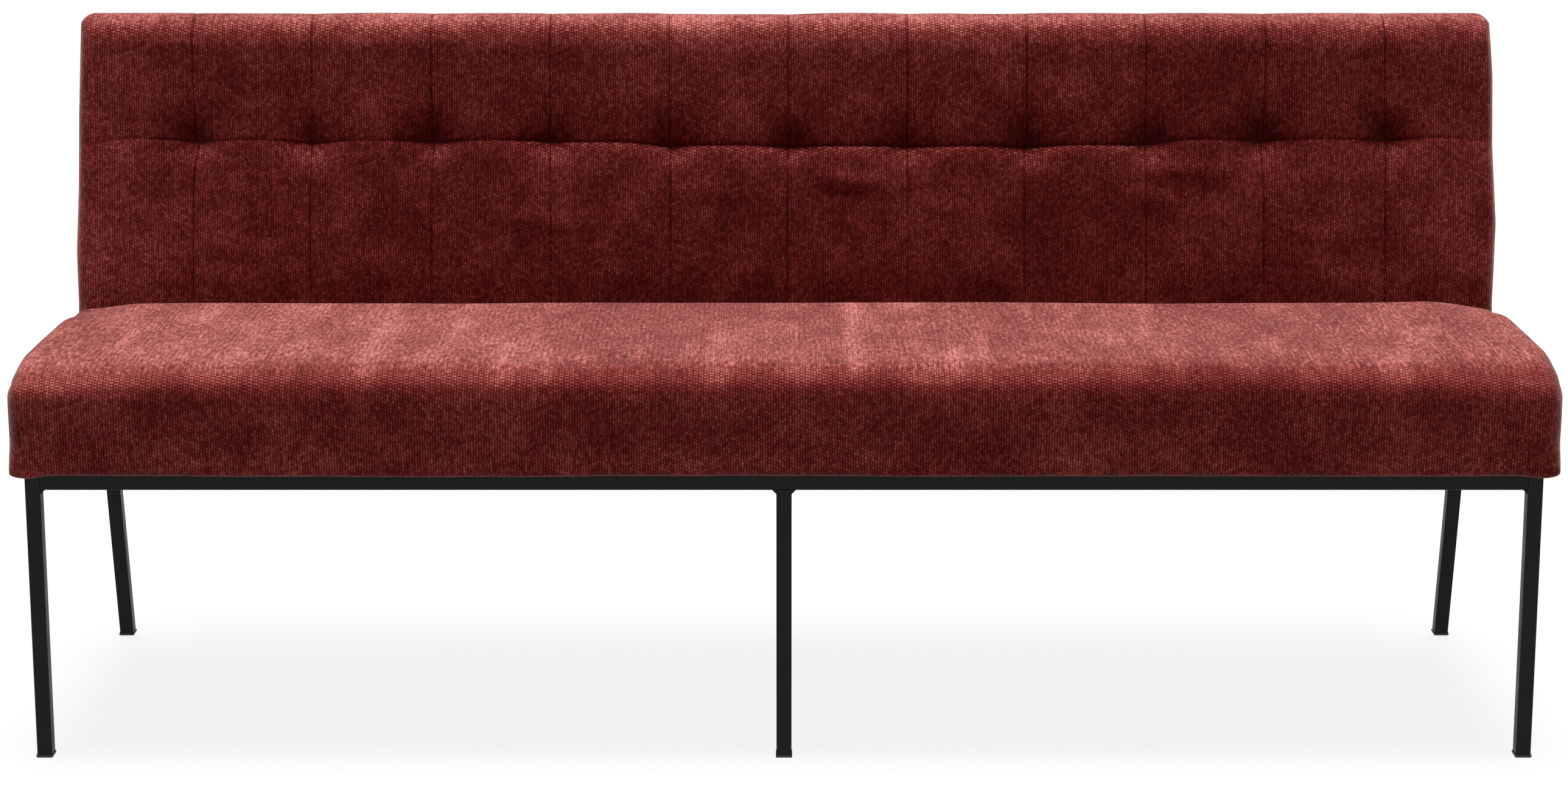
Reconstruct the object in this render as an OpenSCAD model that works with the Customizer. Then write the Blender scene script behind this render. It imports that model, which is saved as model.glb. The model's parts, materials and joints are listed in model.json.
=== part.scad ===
// Dining sofa: an upholstered bench with a channel-sewn, tufted backrest on a square-tube steel base.
// Millimetres, +Z up, +X to the right of someone facing the front, and the front faces -Y.
// The origin lies on the floor, under the middle of the bench's overall width and depth.

/* [Bench] */
// Width of the seat and of the backrest
bench_w = 2000; // [1400:50:2600]
// Height of the seat's crown above the floor
seat_h = 530; // [500:5:570]
// Depth of the seat, from its front face to the backrest at seat height
seat_depth = 440; // [400:5:520]
// Height of the backrest's crest above the floor
back_h = 926; // [880:2:1050]
// Lean of the backrest from upright, in degrees
recline = 11; // [6:1:14]

/* [Steel base] */
// Height of the top of the steel base above the floor
base_h = 384; // [340:1:410]
// Side of the square tube
tube = 20; // [18:0.5:24]
// Wall of the square tube
tube_wall = 1.5; // [1:0.25:2.5]
// Outer corner radius of the square tube
tube_r = 2; // [1:0.25:3]
// How far the upholstery stands out past the base at each end
side_overhang = 15; // [8:1:30]
// How far the upholstery stands out past the base at the front
front_overhang = 18; // [10:1:30]
// Rake of the rear legs from upright, in degrees
leg_rake = 13; // [0:1:18]
// Size of the weld fillets between legs and rails
fillet_size = 6; // [3:0.5:10]
// Width of a weld fillet along the tube
fillet_w = 14; // [8:1:15]

/* [Glides and plugs] */
// Height of a glide's plate under its leg
glide_h = 4; // [3:0.5:8]
// How far a glide's plate stands out past its leg on each side
glide_lip = 0.8; // [0:0.1:2]
// Chamfer round the foot of a glide
glide_chamfer = 1.2; // [0.5:0.1:2]
// Length of a glide's stem inside its leg
glide_stem = 22; // [10:1:40]
// Thickness of the flange of a plug that closes a tube end
plug_flange = 2; // [1:0.5:4]
// Length of a plug's stem inside its tube
plug_stem = 12; // [6:1:30]
// Clearance of a stem inside a tube
stem_gap = 0.15; // [0.05:0.05:0.4]

/* [Fixings] */
// Reach of a mounting tab from its rail
tab_reach = 30; // [26:1:40]
// Width of a mounting tab along its rail
tab_w = 32; // [20:1:60]
// Thickness of a mounting tab
tab_t = 3; // [2:0.5:6]
// Distance of a tab's hole from its rail
tab_hole_in = 15; // [13:0.5:18]
// Diameter of a tab's hole
tab_hole_d = 7; // [6.5:0.25:8]
// Shank diameter of a seat bolt
bolt_d = 6; // [5:0.25:6.25]
// Head diameter of a seat bolt
bolt_head_d = 13; // [10:0.5:16]
// Head height of a seat bolt
bolt_head_h = 3.5; // [2:0.5:6]
// How far a seat bolt reaches past its nut
bolt_past = 4; // [1:0.5:10]
// Flange diameter of a tee nut
nut_flange_d = 19; // [14:1:24]
// Flange thickness of a tee nut
nut_flange_t = 1.5; // [1:0.25:2.5]
// Barrel diameter of a tee nut
nut_barrel_d = 8; // [7.5:0.25:10]
// Barrel length of a tee nut
nut_barrel_l = 12; // [6:1:20]
// Shank diameter of the screws that hold the backrest to its uprights
screw_d = 5; // [4:0.5:6]
// Head diameter of those screws
screw_head_d = 10; // [8:0.5:14]
// Head height of those screws
screw_head_h = 2; // [1:0.25:2.25]
// Distance of the side rails' front tabs from the front of the base
front_tab_in = 90; // [60:5:110]
// Distance of the side rails' rear tabs from the rear rail
rear_tab_in = 145; // [130:5:170]

/* [Seat box] */
// Thickness of the seat box's boards
board_t = 25; // [18:1:32]
// Height of the seat box's boards
board_h = 60; // [50:1:75]
// How far the cross bars stay below the top of the boards
bar_drop = 10; // [4:1:16]
// Side of a cleat that takes a seat bolt
cleat_w = 40; // [32:1:50]
// Height of a cleat
cleat_h = 30; // [22:1:40]
// Width of a strap of webbing
strap_w = 60; // [40:1:80]
// Thickness of a strap of webbing
strap_t = 1.6; // [1:0.1:3]
// Distance between the middles of the straps
strap_pitch = 146; // [110:2:220]

/* [Seat cushion] */
// Thickness of the cover and its wadding at the front and the ends
seat_pad_side = 14; // [12:0.5:20]
// Thickness of the cover and its wadding over the foam
seat_pad_top = 12; // [11:0.5:20]
// Thickness of the cover and its wadding at the rear
seat_pad_rear = 6; // [4:0.5:10]
// Thickness of the fabric turned under the seat box
hem_t = 2; // [1:0.25:4]
// Width of the fabric turned under the seat box
hem_w = 28; // [16:1:29]
// Thickness of the dust cover under the seat
dust_t = 0.8; // [0.5:0.1:2]
// Roundover of the front top edge
front_r = 42; // [30:1:50]
// Roundover of the end top edges
end_r = 26; // [18:1:30]
// Roundover of the rear top edge
rear_r = 14; // [10:1:20]
// Corner radius in plan
plan_r = 30; // [20:1:45]
// Roundover of the bottom edges
bottom_r = 12; // [6:1:16]
// How far the sides bulge between the bottom and the top edge
side_bulge = 1.5; // [0:0.25:3]
// Fall of the top from its crown to the ends
crown_end = 9; // [0:0.5:9]
// Fall of the top from its crown to the front edge
crown_front = 3; // [0:0.5:6]

/* [Backrest] */
// Thickness of the backrest
back_t = 100; // [96:1:120]
// Distance between the vertical seams
seam_pitch = 168.5; // [140:0.5:220]
// Shift of the row of vertical seams to the right
seam_shift = 6; // [-12:1:12]
// Height of the horizontal seam above the floor
seam_h = 744; // [700:2:800]
// Depth of a seam below the crown of its panels
channel_d = 14; // [8:0.5:15]
// Extra depth where a tuft is pulled in
tuft_d = 8; // [3:0.5:8]
// Reach of a tuft's hollow
tuft_reach = 15; // [8:1:24]
// Rise of a panel from the horizontal seam to its full crown
panel_rise = 58; // [40:1:70]
// Depth of the vertical seams where they run over the crest
crest_d = 4; // [2:0.5:6]
// Roundover of the front top edge of the backrest
back_top_r = 48; // [36:1:52]
// Roundover of the rear top edge of the backrest
back_rear_r = 12; // [6:1:18]
// Roundover of the end edges of the backrest
back_end_r = 20; // [12:1:24]
// How far the cushions press each other flat where they meet
press_d = 8; // [6:0.5:10]
// Depth from the crown to the face of the foam
quilt_t = 24; // [24:0.5:30]
// Thickness of the foam in the backrest
back_foam_t = 35; // [25:1:38]
// Chamfer of the foam's front top edge
back_foam_chamfer = 18; // [16:1:26]
// Thickness of the cover over the ends and the top of the backrest's frame
back_pad_end = 14; // [12:0.5:20]

/* [Backrest frame] */
// Thickness of the board behind the foam
back_board_t = 9; // [6:1:12]
// Height of the bottom rail
bottom_rail_h = 62; // [50:1:80]
// Height of the tuft rail
tuft_rail_h = 60; // [40:1:90]
// Thickness of the tuft rail
tuft_rail_t = 18; // [12:1:19]
// Height of the top rail
top_rail_h = 50; // [30:1:70]
// Width of the posts
post_w = 40; // [30:1:60]
// Thickness of the cover turned over the rear of the frame
wrap_t = 2.5; // [2.5:0.25:4]
// Width of the cover turned over the rear of the frame
wrap_w = 26; // [16:1:30]
// Thickness of the outside back panel
outside_t = 3.5; // [2:0.5:6]
// How far the outside back panel stays inside the edges of the backrest
outside_inset = 9; // [5:1:20]
// How far the steel uprights rise past the tuft rail's middle
upright_past = 60; // [40:1:100]
// Diameter of a tuft's tie
tie_d = 2; // [1.5:0.25:3]
// Diameter of a tie's hole through foam, board and rail
tie_hole_d = 4; // [3.5:0.25:6]
// Diameter of the toggle behind a tie
toggle_d = 14; // [10:1:18]
// Thickness of the toggle behind a tie
toggle_t = 2.5; // [1.5:0.25:4]

/* [Hidden] */

// Colours
steel_black = [0.03, 0.03, 0.032];
plastic_black = [0.02, 0.02, 0.02];
zinc = [0.72, 0.73, 0.74];
pine = [0.78, 0.62, 0.42];
foam_cream = [0.9, 0.86, 0.68];
strap_grey = [0.25, 0.25, 0.26];
cambric_black = [0.05, 0.05, 0.05];
chenille_red = [0.34, 0.1, 0.09];
thread_red = [0.28, 0.07, 0.06];

// Gaps between pieces that touch or nearly touch
soft_gap = 0.3;
joint_gap = 0.2;
cushion_gap = 0.5;
overshoot = 1;
dust_hole_grow = 1;
upright_clear = 2;
round_fn = 48;
hex_fn = 6;
hex_share = 0.7;

// The backrest is a leaning slab. v runs up along it and t runs from its crown plane to its rear.
slab_sin = sin(recline);
slab_cos = cos(recline);
slab_tan = tan(recline);
slab_foot = seat_depth - (seat_h - base_h) * slab_tan;
back_v_top = (back_h - base_h - back_top_r * (1 - slab_sin)) / slab_cos + back_top_r;
outside_v_top = back_v_top - back_pad_end;
bench_d = slab_foot + outside_v_top * slab_sin + back_t * slab_cos;
seat_y = -bench_d / 2;
slab_y = seat_y + slab_foot;
function slab_v(z, t) = (z - base_h + t * slab_sin) / slab_cos;
function slab_point(v, t) = [slab_y + v * slab_sin + t * slab_cos, base_h + v * slab_cos - t * slab_sin];
function slab_y_at(z, t) = slab_point(slab_v(z, t), t).x;

// Steel base
panels = round(bench_w / seam_pitch);
half_w = bench_w / 2;
base_x = half_w - side_overhang;
base_y = seat_y + front_overhang;
rail_z = base_h - tube;
tube_bore = tube - 2 * tube_wall;
bore_r = max(tube_r - tube_wall, 0.4);
cover_rear_t = back_t - outside_t;
frame_rear_t = cover_rear_t - wrap_t;
upright_t = frame_rear_t - tube / 2;
rear_rail_y = slab_y_at(base_h, upright_t);
leg_x = base_x - tube / 2;
front_leg_y = base_y + tube / 2;
side_rail_front = base_y + tube;
side_rail_rear = rear_rail_y - tube / 2;
function raked_y(z) = rear_rail_y + (rail_z - z) * tan(leg_rake);
upright_v_top = slab_v(seam_h, channel_d) + upright_past;
post_step = seam_pitch * panels / 24;
upright_xs = [for (k = [-9, -3, 3, 9]) seam_shift + k * post_step];
inner_post_xs = [for (k = [-5, 5]) seam_shift + k * post_step];

// Seat box
box_z = base_h + dust_t + hem_t;
box_x = half_w - seat_pad_side;
box_front = seat_y + seat_pad_side;
seat_rear_t = press_d - cushion_gap;
box_rear = slab_y_at(box_z, seat_rear_t) - seat_pad_rear;
board_top = box_z + board_h;
foam_z = board_top + strap_t;
foam_top = seat_h - seat_pad_top;
bar_xs = [-base_x / 2, 0, base_x / 2];
tab_ys = [base_y + front_tab_in, rear_rail_y - rear_tab_in];
cleat_z = box_z + cleat_h;
strap_n = floor((2 * box_x - strap_w - 2 * board_t) / strap_pitch);

// Tabs on the inside of the rails: [x, y] of the hole, and the direction from the rail to the hole
tabs = concat(
    [for (s = [-1, 1], y = tab_ys) [s * (base_x - tube - tab_hole_in), y, -s, 0]],
    [for (s = [-1, 1]) [s * (base_x + board_t + cleat_w) / 2, base_y + tube + tab_hole_in, 0, 1]],
    [for (y = tab_ys) [tube / 2 + tab_hole_in, y, 1, 0]]);

// Backrest frame and its seams
seam_xs = [for (k = [1:panels - 1]) seam_shift + (k - panels / 2) * seam_pitch];
seam_v = slab_v(seam_h, channel_d);
seat_v = slab_v(seat_h, 0);
foam_back_t = quilt_t + back_foam_t;
frame_t = foam_back_t + back_board_t;
frame_x = half_w - back_pad_end;
frame_v_top = back_v_top - back_pad_end;
frame_z = base_h + hem_t;
low_screw_v = bottom_rail_h / 2 + 8;

// Turns a [y, z] outline into a bar along X
module along_x(outline, half) {
    rotate([90, 0, 90])
        linear_extrude(height = 2 * half, center = true)
            polygon(outline);
}

// A piece in the leaning slab: the outline is in [v, t]
module slab_bar(outline, half) {
    along_x([for (p = outline) slab_point(p[0], p[1])], half);
}

// A straight-sided piece of the slab between two depths, cut level at its foot
module slab_block(x0, x1, z0, v1, t0, t1) {
    translate([(x0 + x1) / 2, 0, 0])
        slab_bar([[slab_v(z0, t0), t0], [v1, t0], [v1, t1], [slab_v(z0, t1), t1]], (x1 - x0) / 2);
}

// The same between two distances up the slab
module slab_rail(x0, x1, v0, v1, t0, t1) {
    translate([(x0 + x1) / 2, 0, 0])
        slab_bar([[v0, t0], [v1, t0], [v1, t1], [v0, t1]], (x1 - x0) / 2);
}

// A round bar through the slab along t
module slab_pin(x, v, t0, t1, d) {
    start = slab_point(v, t0);
    translate([x, start.x, start.y])
        rotate([-90 - recline, 0, 0])
            cylinder(d = d, h = t1 - t0, $fn = round_fn);
}

function round_square(side, r) = [for (k = [0:3], i = [0:4])
    let (a = 90 * k + 22.5 * i, c = side / 2 - r, sx = (k == 0 || k == 3) ? 1 : -1, sy = k < 2 ? 1 : -1)
    [sx * c + r * cos(a), sy * c + r * sin(a)]];

module tube_section() {
    difference() {
        polygon(round_square(tube, tube_r));
        polygon(round_square(tube_bore, bore_r));
    }
}

module stem_section() {
    polygon(round_square(tube_bore - 2 * stem_gap, bore_r));
}

module tube_up(length) {
    linear_extrude(height = length) tube_section();
}

module tube_x(length) {
    translate([-length / 2, 0, 0]) rotate([90, 0, 90]) tube_up(length);
}

module tube_y(length) {
    rotate([-90, 0, 0]) tube_up(length);
}

// Everything between two heights
module level_band(z0, z1) {
    translate([-bench_w, -bench_w, z0]) cube([2 * bench_w, 2 * bench_w, z1 - z0]);
}

// Steel base
module front_rail() {
    color(steel_black)
        translate([0, front_leg_y, rail_z + tube / 2]) tube_x(2 * (base_x - tube));
}

module rear_rail() {
    color(steel_black)
        translate([0, rear_rail_y, rail_z + tube / 2]) tube_x(2 * (base_x - plug_flange));
}

module side_rail(side) {
    color(steel_black)
        translate([side * leg_x, side_rail_front, rail_z + tube / 2])
            tube_y(side_rail_rear - side_rail_front);
}

module centre_cross_rail() {
    color(steel_black)
        translate([0, side_rail_front, rail_z + tube / 2]) tube_y(side_rail_rear - side_rail_front);
}

module front_corner_leg(side) {
    color(steel_black)
        translate([side * leg_x, front_leg_y, glide_h]) tube_up(base_h - plug_flange - glide_h);
}

module front_centre_leg() {
    color(steel_black) translate([0, front_leg_y, glide_h]) tube_up(rail_z - glide_h);
}

// Leans a straight piece below the rear rail to the rake of the rear legs
module raked(x) {
    translate([x, rear_rail_y, rail_z])
        rotate([leg_rake, 0, 0])
            translate([0, 0, -2 * base_h])
                children();
}

module rear_leg(x) {
    color(steel_black)
        intersection() {
            raked(x) linear_extrude(height = 3 * base_h) tube_section();
            level_band(glide_h, rail_z);
        }
}

// The holes for the screws that hold the backrest to an upright
module screw_room(x) {
    for (v = [low_screw_v, seam_v])
        slab_pin(x, v, foam_back_t + overshoot, frame_rear_t + overshoot, screw_d + joint_gap);
}

module upright(x) {
    color(steel_black)
        difference() {
            intersection() {
                translate([x, rear_rail_y, base_h])
                    rotate([-recline, 0, 0])
                        translate([0, 0, -tube])
                            linear_extrude(height = tube + upright_v_top - slab_v(base_h, upright_t))
                                tube_section();
                level_band(base_h, 2 * back_h);
            }
            screw_room(x);
        }
}

// A fillet under a rail, against the side of a leg: side is the way it points away from the leg
module weld_fillet(x, y, side) {
    translate([x, y, rail_z])
        rotate([90, 0, 0])
            linear_extrude(height = fillet_w, center = true)
                polygon([[0, 0], [side * fillet_size, 0], [0, -fillet_size]]);
}

module weld_fillets() {
    color(steel_black)
        for (y = [front_leg_y, raked_y(rail_z - fillet_size / 2)], s = [-1, 1]) {
            weld_fillet(s * (base_x - tube), y, -s);
            weld_fillet(s * tube / 2, y, s);
        }
}

// A flat tab welded inside a rail, level with its top, with a hole for a seat bolt
module mounting_tab(tab) {
    along = [abs(tab[3]), abs(tab[2])];
    size = [tab_reach * abs(tab[2]) + tab_w * along.x, tab_reach * abs(tab[3]) + tab_w * along.y];
    out = tab_reach / 2 - tab_hole_in;
    corner = [tab[0] + tab[2] * out, tab[1] + tab[3] * out] - size / 2;
    difference() {
        translate([corner.x, corner.y, base_h - tab_t]) cube([size.x, size.y, tab_t]);
        translate([tab[0], tab[1], base_h - tab_t - overshoot])
            cylinder(d = tab_hole_d, h = tab_t + 2 * overshoot, $fn = round_fn);
    }
}

module mounting_tabs() {
    color(steel_black) for (tab = tabs) mounting_tab(tab);
}

// Plastic plugs and glides
module plug(flange) {
    linear_extrude(height = flange) polygon(round_square(tube, tube_r));
    translate([0, 0, -plug_stem]) linear_extrude(height = plug_stem) stem_section();
}

module leg_top_plugs() {
    color(plastic_black)
        for (s = [-1, 1])
            translate([s * leg_x, front_leg_y, base_h - plug_flange]) plug(plug_flange);
}

module rear_rail_plugs() {
    color(plastic_black)
        for (s = [-1, 1])
            translate([s * (base_x - plug_flange), rear_rail_y, rail_z + tube / 2])
                rotate([0, 90 * s, 0]) plug(plug_flange);
}

// A glide's plate, chamfered round its foot, for a leg whose level section is tube wide and depth deep
module glide_plate(depth) {
    hx = tube / 2 + glide_lip;
    hy = depth / 2 + glide_lip;
    intersection() {
        rotate([90, 0, 0])
            linear_extrude(height = 2 * hy, center = true)
                polygon([[-hx + glide_chamfer, 0], [hx - glide_chamfer, 0], [hx, glide_chamfer],
                    [hx, glide_h], [-hx, glide_h], [-hx, glide_chamfer]]);
        along_x([[-hy + glide_chamfer, 0], [hy - glide_chamfer, 0], [hy, glide_chamfer],
            [hy, glide_h], [-hy, glide_h], [-hy, glide_chamfer]], hx);
    }
}

module front_glide(x) {
    color(plastic_black) {
        translate([x, front_leg_y, 0]) glide_plate(tube);
        translate([x, front_leg_y, glide_h]) linear_extrude(height = glide_stem) stem_section();
    }
}

module rear_glide(x) {
    color(plastic_black) {
        translate([x, raked_y(glide_h), 0]) glide_plate(tube / cos(leg_rake));
        intersection() {
            raked(x) linear_extrude(height = 3 * base_h) stem_section();
            level_band(glide_h, glide_h + glide_stem);
        }
    }
}

// Seat box. Its rear board leans with the backrest, and the end boards and bars are cut to meet it.
function core_rear(z) = slab_y_at(z, seat_rear_t) - seat_pad_rear;

module seat_front_board() {
    color(pine) translate([-box_x, box_front, box_z]) cube([2 * box_x, board_t, board_h]);
}

module seat_rear_board() {
    color(pine)
        along_x([[core_rear(box_z) - board_t, box_z], [core_rear(box_z), box_z],
            [core_rear(board_top), board_top], [core_rear(board_top) - board_t, board_top]], box_x);
}

// A board on edge from the front board to the rear board
module seat_crosswise_board(x, height) {
    translate([x, 0, 0])
        along_x([[box_front + board_t, box_z], [core_rear(box_z) - board_t, box_z],
            [core_rear(box_z + height) - board_t, box_z + height], [box_front + board_t, box_z + height]],
            board_t / 2);
}

module seat_end_board(side) {
    color(pine) seat_crosswise_board(side * (box_x - board_t / 2), board_h);
}

module seat_cross_bars() {
    color(pine) for (x = bar_xs) seat_crosswise_board(x, board_h - bar_drop);
}

// The cleat over a tab lies against the board or bar beside it
module bolt_cleats() {
    color(pine)
        for (tab = tabs) {
            face = tab[3] > 0 ? box_front + board_t
                : abs(tab[0]) > base_x / 2 ? box_x - board_t : board_t / 2;
            x0 = tab[3] > 0 ? tab[0] - cleat_w / 2
                : abs(tab[0]) < base_x / 2 ? face : tab[0] > 0 ? face - cleat_w : -face;
            y0 = tab[3] > 0 ? face : tab[1] - cleat_w / 2;
            difference() {
                translate([x0, y0, box_z]) cube([cleat_w, cleat_w, cleat_h]);
                translate([tab[0], tab[1], box_z - overshoot])
                    cylinder(d = nut_barrel_d + 2 * joint_gap, h = cleat_h + 2 * overshoot, $fn = round_fn);
            }
        }
}

module seat_bolts() {
    color(zinc)
        for (tab = tabs)
            translate([tab[0], tab[1], base_h - tab_t - bolt_head_h])
                difference() {
                    union() {
                        cylinder(d = bolt_head_d, h = bolt_head_h, $fn = round_fn);
                        cylinder(d = bolt_d, h = bolt_head_h + tab_t + cleat_z - base_h + bolt_past,
                            $fn = round_fn);
                    }
                    translate([0, 0, -overshoot])
                        cylinder(d = bolt_d * hex_share, h = overshoot + bolt_head_h * hex_share,
                            $fn = hex_fn);
                }
}

module tee_nuts() {
    color(zinc)
        for (tab = tabs)
            translate([tab[0], tab[1], cleat_z])
                difference() {
                    union() {
                        cylinder(d = nut_flange_d, h = nut_flange_t, $fn = round_fn);
                        translate([0, 0, -nut_barrel_l])
                            cylinder(d = nut_barrel_d, h = nut_barrel_l, $fn = round_fn);
                    }
                    translate([0, 0, -nut_barrel_l - overshoot])
                        cylinder(d = bolt_d + joint_gap, h = nut_barrel_l + nut_flange_t + 2 * overshoot,
                            $fn = round_fn);
                }
}

module seat_webbing() {
    color(strap_grey)
        for (i = [0:strap_n])
            translate([(i - strap_n / 2) * strap_pitch - strap_w / 2, box_front, board_top])
                cube([strap_w, box_rear - box_front, strap_t]);
}

// The foam and the cover are stacks of rounded loops. Each loop point knows which way it faces,
// so the front, the ends and the rear can have their own roundovers.
corner_steps = 5;
long_steps = 12;
short_steps = 3;
plan_shrink = 0.7;
crown_corner_grow = 4;
crown_steps = [0.12, 0.3, 0.6, 1];
crown_flat = 28;
crown_rear = 1;
function loop_corner(k, hx, y0, y1, r) = [(k < 2 ? 1 : -1) * (hx - r),
    (k == 0 || k == 3) ? y0 + r : y1 - r];
function loop_arc(k, c, r) = [for (i = [0:corner_steps]) let (a = 90 * (k - 1 + i / corner_steps))
    [c.x + r * cos(a), c.y + r * sin(a), cos(a), sin(a)]];
function loop_points(hx, y0, y1, r) = let (
    arcs = [for (k = [0:3]) loop_arc(k, loop_corner(k, hx, y0, y1, r), r)])
    [for (k = [0:3])
        let (a = arcs[k][corner_steps], b = arcs[(k + 1) % 4][0], n = k % 2 == 0 ? short_steps : long_steps)
        each concat(arcs[k], [for (i = [1:n]) let (f = i / (n + 1))
            [a[0] + (b[0] - a[0]) * f, a[1] + (b[1] - a[1]) * f, a[2], a[3]]])];

// A ring is [end inset, front inset, rear inset, corner radius, front z, end z, rear z]
function ring_points(ring) = [for (p = loop_points(half_w - ring[0], seat_y + ring[1],
        slab_y_at(ring[6], seat_rear_t) - ring[2], ring[3]))
    [p[0], p[1], ring[4] * pow(min(p[3], 0), 2) + ring[5] * pow(p[2], 2) + ring[6] * pow(max(p[3], 0), 2)]];

cover_z = base_h + dust_t;
top_front = seat_h - crown_front;
top_end = seat_h - crown_end;
top_rear = seat_h - crown_rear;
bulge_z = (cover_z + bottom_r + top_front - front_r) / 2;
function bottom_ring(a) = [side_bulge + bottom_r * (1 - sin(a)), side_bulge + bottom_r * (1 - sin(a)),
    (rear_r / 4) * (1 - sin(a)), plan_r - bottom_r * (1 - sin(a)),
    cover_z + bottom_r * (1 - cos(a)), cover_z + bottom_r * (1 - cos(a)), cover_z + bottom_r * (1 - cos(a))];
function edge_ring(a) = [side_bulge + end_r * (1 - cos(a)), side_bulge + front_r * (1 - cos(a)),
    rear_r * (1 - cos(a)), plan_r * (1 - plan_shrink * (1 - cos(a))),
    top_front - front_r * (1 - sin(a)), top_end - end_r * (1 - sin(a)), top_rear - rear_r * (1 - sin(a))];
function crown_ring(f) = let (mid = (seat_depth - front_r - rear_r - crown_flat) / 2, up = sin(90 * f)) [
    side_bulge + end_r + f * mid, side_bulge + front_r + f * mid, rear_r + f * mid,
    plan_r * (1 - plan_shrink) + f * crown_corner_grow,
    top_front + crown_front * up, top_end + crown_end * up, top_rear + crown_rear * up];
seat_rings = concat(
    [for (a = [0:45:90]) bottom_ring(a)],
    [[0, 0, 0, plan_r, bulge_z, bulge_z, bulge_z]],
    [for (a = [0:18:90]) edge_ring(a)],
    [for (f = crown_steps) crown_ring(f)]);

// Joins a stack of equal loops into a closed surface of triangles. The two points after the loops
// are the middles of the flat caps.
function stack_faces(loops, n) = concat(
    [for (i = [0:loops - 2], j = [0:n - 1]) let (a = i * n + j, b = i * n + (j + 1) % n)
        each [[a, a + n, b], [b, a + n, b + n]]],
    [for (j = [0:n - 1]) [loops * n, j, (j + 1) % n]],
    [for (j = [0:n - 1]) let (top = (loops - 1) * n) [loops * n + 1, top + (j + 1) % n, top + j]]);
function middle_of(loop) = [for (k = [0:2]) (min([for (p = loop) p[k]]) + max([for (p = loop) p[k]])) / 2];
function stack_points(loops) = concat([for (loop = loops) each loop],
    [middle_of(loops[0]), middle_of(loops[len(loops) - 1])]);

// Rings of the foam, which also shape the room inside the cover, grown by a gap
core_r = 1;
core_corner_grow = 6;
function core_wall_ring(z, grow) = [seat_pad_side - grow, seat_pad_side - grow, seat_pad_rear - grow,
    core_r, z, z, z];
function core_edge_ring(a, grow) = let (r = front_r - seat_pad_side, in = 1 - cos(a), down = 1 - sin(a)) [
    seat_pad_side + 2 * end_r * in - grow, seat_pad_side + r * in - grow, seat_pad_rear + rear_r * in - grow,
    core_r + core_corner_grow * in,
    foam_top - r * down + grow, foam_top - end_r * down + grow, foam_top - rear_r * down + grow];
core_edge_angles = [0, 45, 90];
function hem_ring(z) = [seat_pad_side + hem_w, seat_pad_side + hem_w, seat_pad_rear + hem_w, core_r, z, z, z];

module loop_stack(rings) {
    loops = [for (ring = rings) ring_points(ring)];
    polyhedron(points = stack_points(loops), faces = stack_faces(len(loops), len(loops[0])),
        convexity = 4);
}

module seat_foam() {
    color(foam_cream)
        loop_stack(concat([core_wall_ring(foam_z, 0)], [for (a = core_edge_angles) core_edge_ring(a, 0)]));
}

// The cover runs from inside its top, down its inner walls, round the hem and up to the crown
module seat_cover() {
    color(chenille_red)
        loop_stack(concat(
            [for (i = [len(core_edge_angles) - 1:-1:0]) core_edge_ring(core_edge_angles[i], soft_gap)],
            [core_wall_ring(box_z, soft_gap), hem_ring(box_z), hem_ring(cover_z)],
            seat_rings));
}

module dust_cover() {
    color(cambric_black)
        difference() {
            translate([-box_x + bottom_r, box_front + bottom_r, base_h])
                cube([2 * (box_x - bottom_r), box_rear - box_front - 2 * bottom_r, dust_t]);
            for (tab = tabs)
                translate([tab[0], tab[1], base_h - overshoot])
                    cylinder(d = tab_hole_d + dust_hole_grow, h = dust_t + 2 * overshoot, $fn = round_fn);
        }
}

// Room that the uprights need in the wooden frame
module upright_room(x) {
    slab_block(x - tube / 2 - joint_gap, x + tube / 2 + joint_gap, base_h - tube, upright_v_top + overshoot,
        upright_t - tube / 2 - joint_gap, frame_rear_t + overshoot);
}

module back_bottom_rail() {
    color(pine)
        difference() {
            slab_block(-frame_x, frame_x, frame_z, bottom_rail_h, frame_t, frame_rear_t);
            for (x = upright_xs) {
                upright_room(x);
                screw_room(x);
            }
        }
}

module back_tuft_rail() {
    color(pine)
        difference() {
            slab_rail(-frame_x, frame_x, seam_v - tuft_rail_h / 2, seam_v + tuft_rail_h / 2,
                frame_t, frame_t + tuft_rail_t);
            for (x = upright_xs) {
                upright_room(x);
                screw_room(x);
            }
            for (x = seam_xs) tie_room(x);
        }
}

module back_top_rail() {
    color(pine)
        difference() {
            slab_rail(-frame_x, frame_x, frame_v_top - top_rail_h, frame_v_top, frame_t, frame_rear_t);
            for (x = upright_xs) upright_room(x);
        }
}

// A post between the bottom and the top rail, halved round the tuft rail
module back_post(x0) {
    difference() {
        slab_rail(x0, x0 + post_w, bottom_rail_h, frame_v_top - top_rail_h, frame_t, frame_rear_t);
        slab_rail(x0 - overshoot, x0 + post_w + overshoot, seam_v - tuft_rail_h / 2 - joint_gap,
            seam_v + tuft_rail_h / 2 + joint_gap, frame_t - overshoot, frame_t + tuft_rail_t + joint_gap);
    }
}

module back_left_post() {
    color(pine) back_post(-frame_x);
}

module back_right_post() {
    color(pine) back_post(frame_x - post_w);
}

module back_inner_posts() {
    color(pine) for (x = inner_post_xs) back_post(x - post_w / 2);
}

// The way of a tie through foam, board and tuft rail
module tie_room(x) {
    slab_pin(x, seam_v, quilt_t - overshoot, frame_rear_t, tie_hole_d);
}

module back_board() {
    color(pine)
        difference() {
            slab_block(-frame_x, frame_x, frame_z, frame_v_top, foam_back_t, frame_t);
            for (x = upright_xs) screw_room(x);
            for (x = seam_xs) tie_room(x);
        }
}

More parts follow.
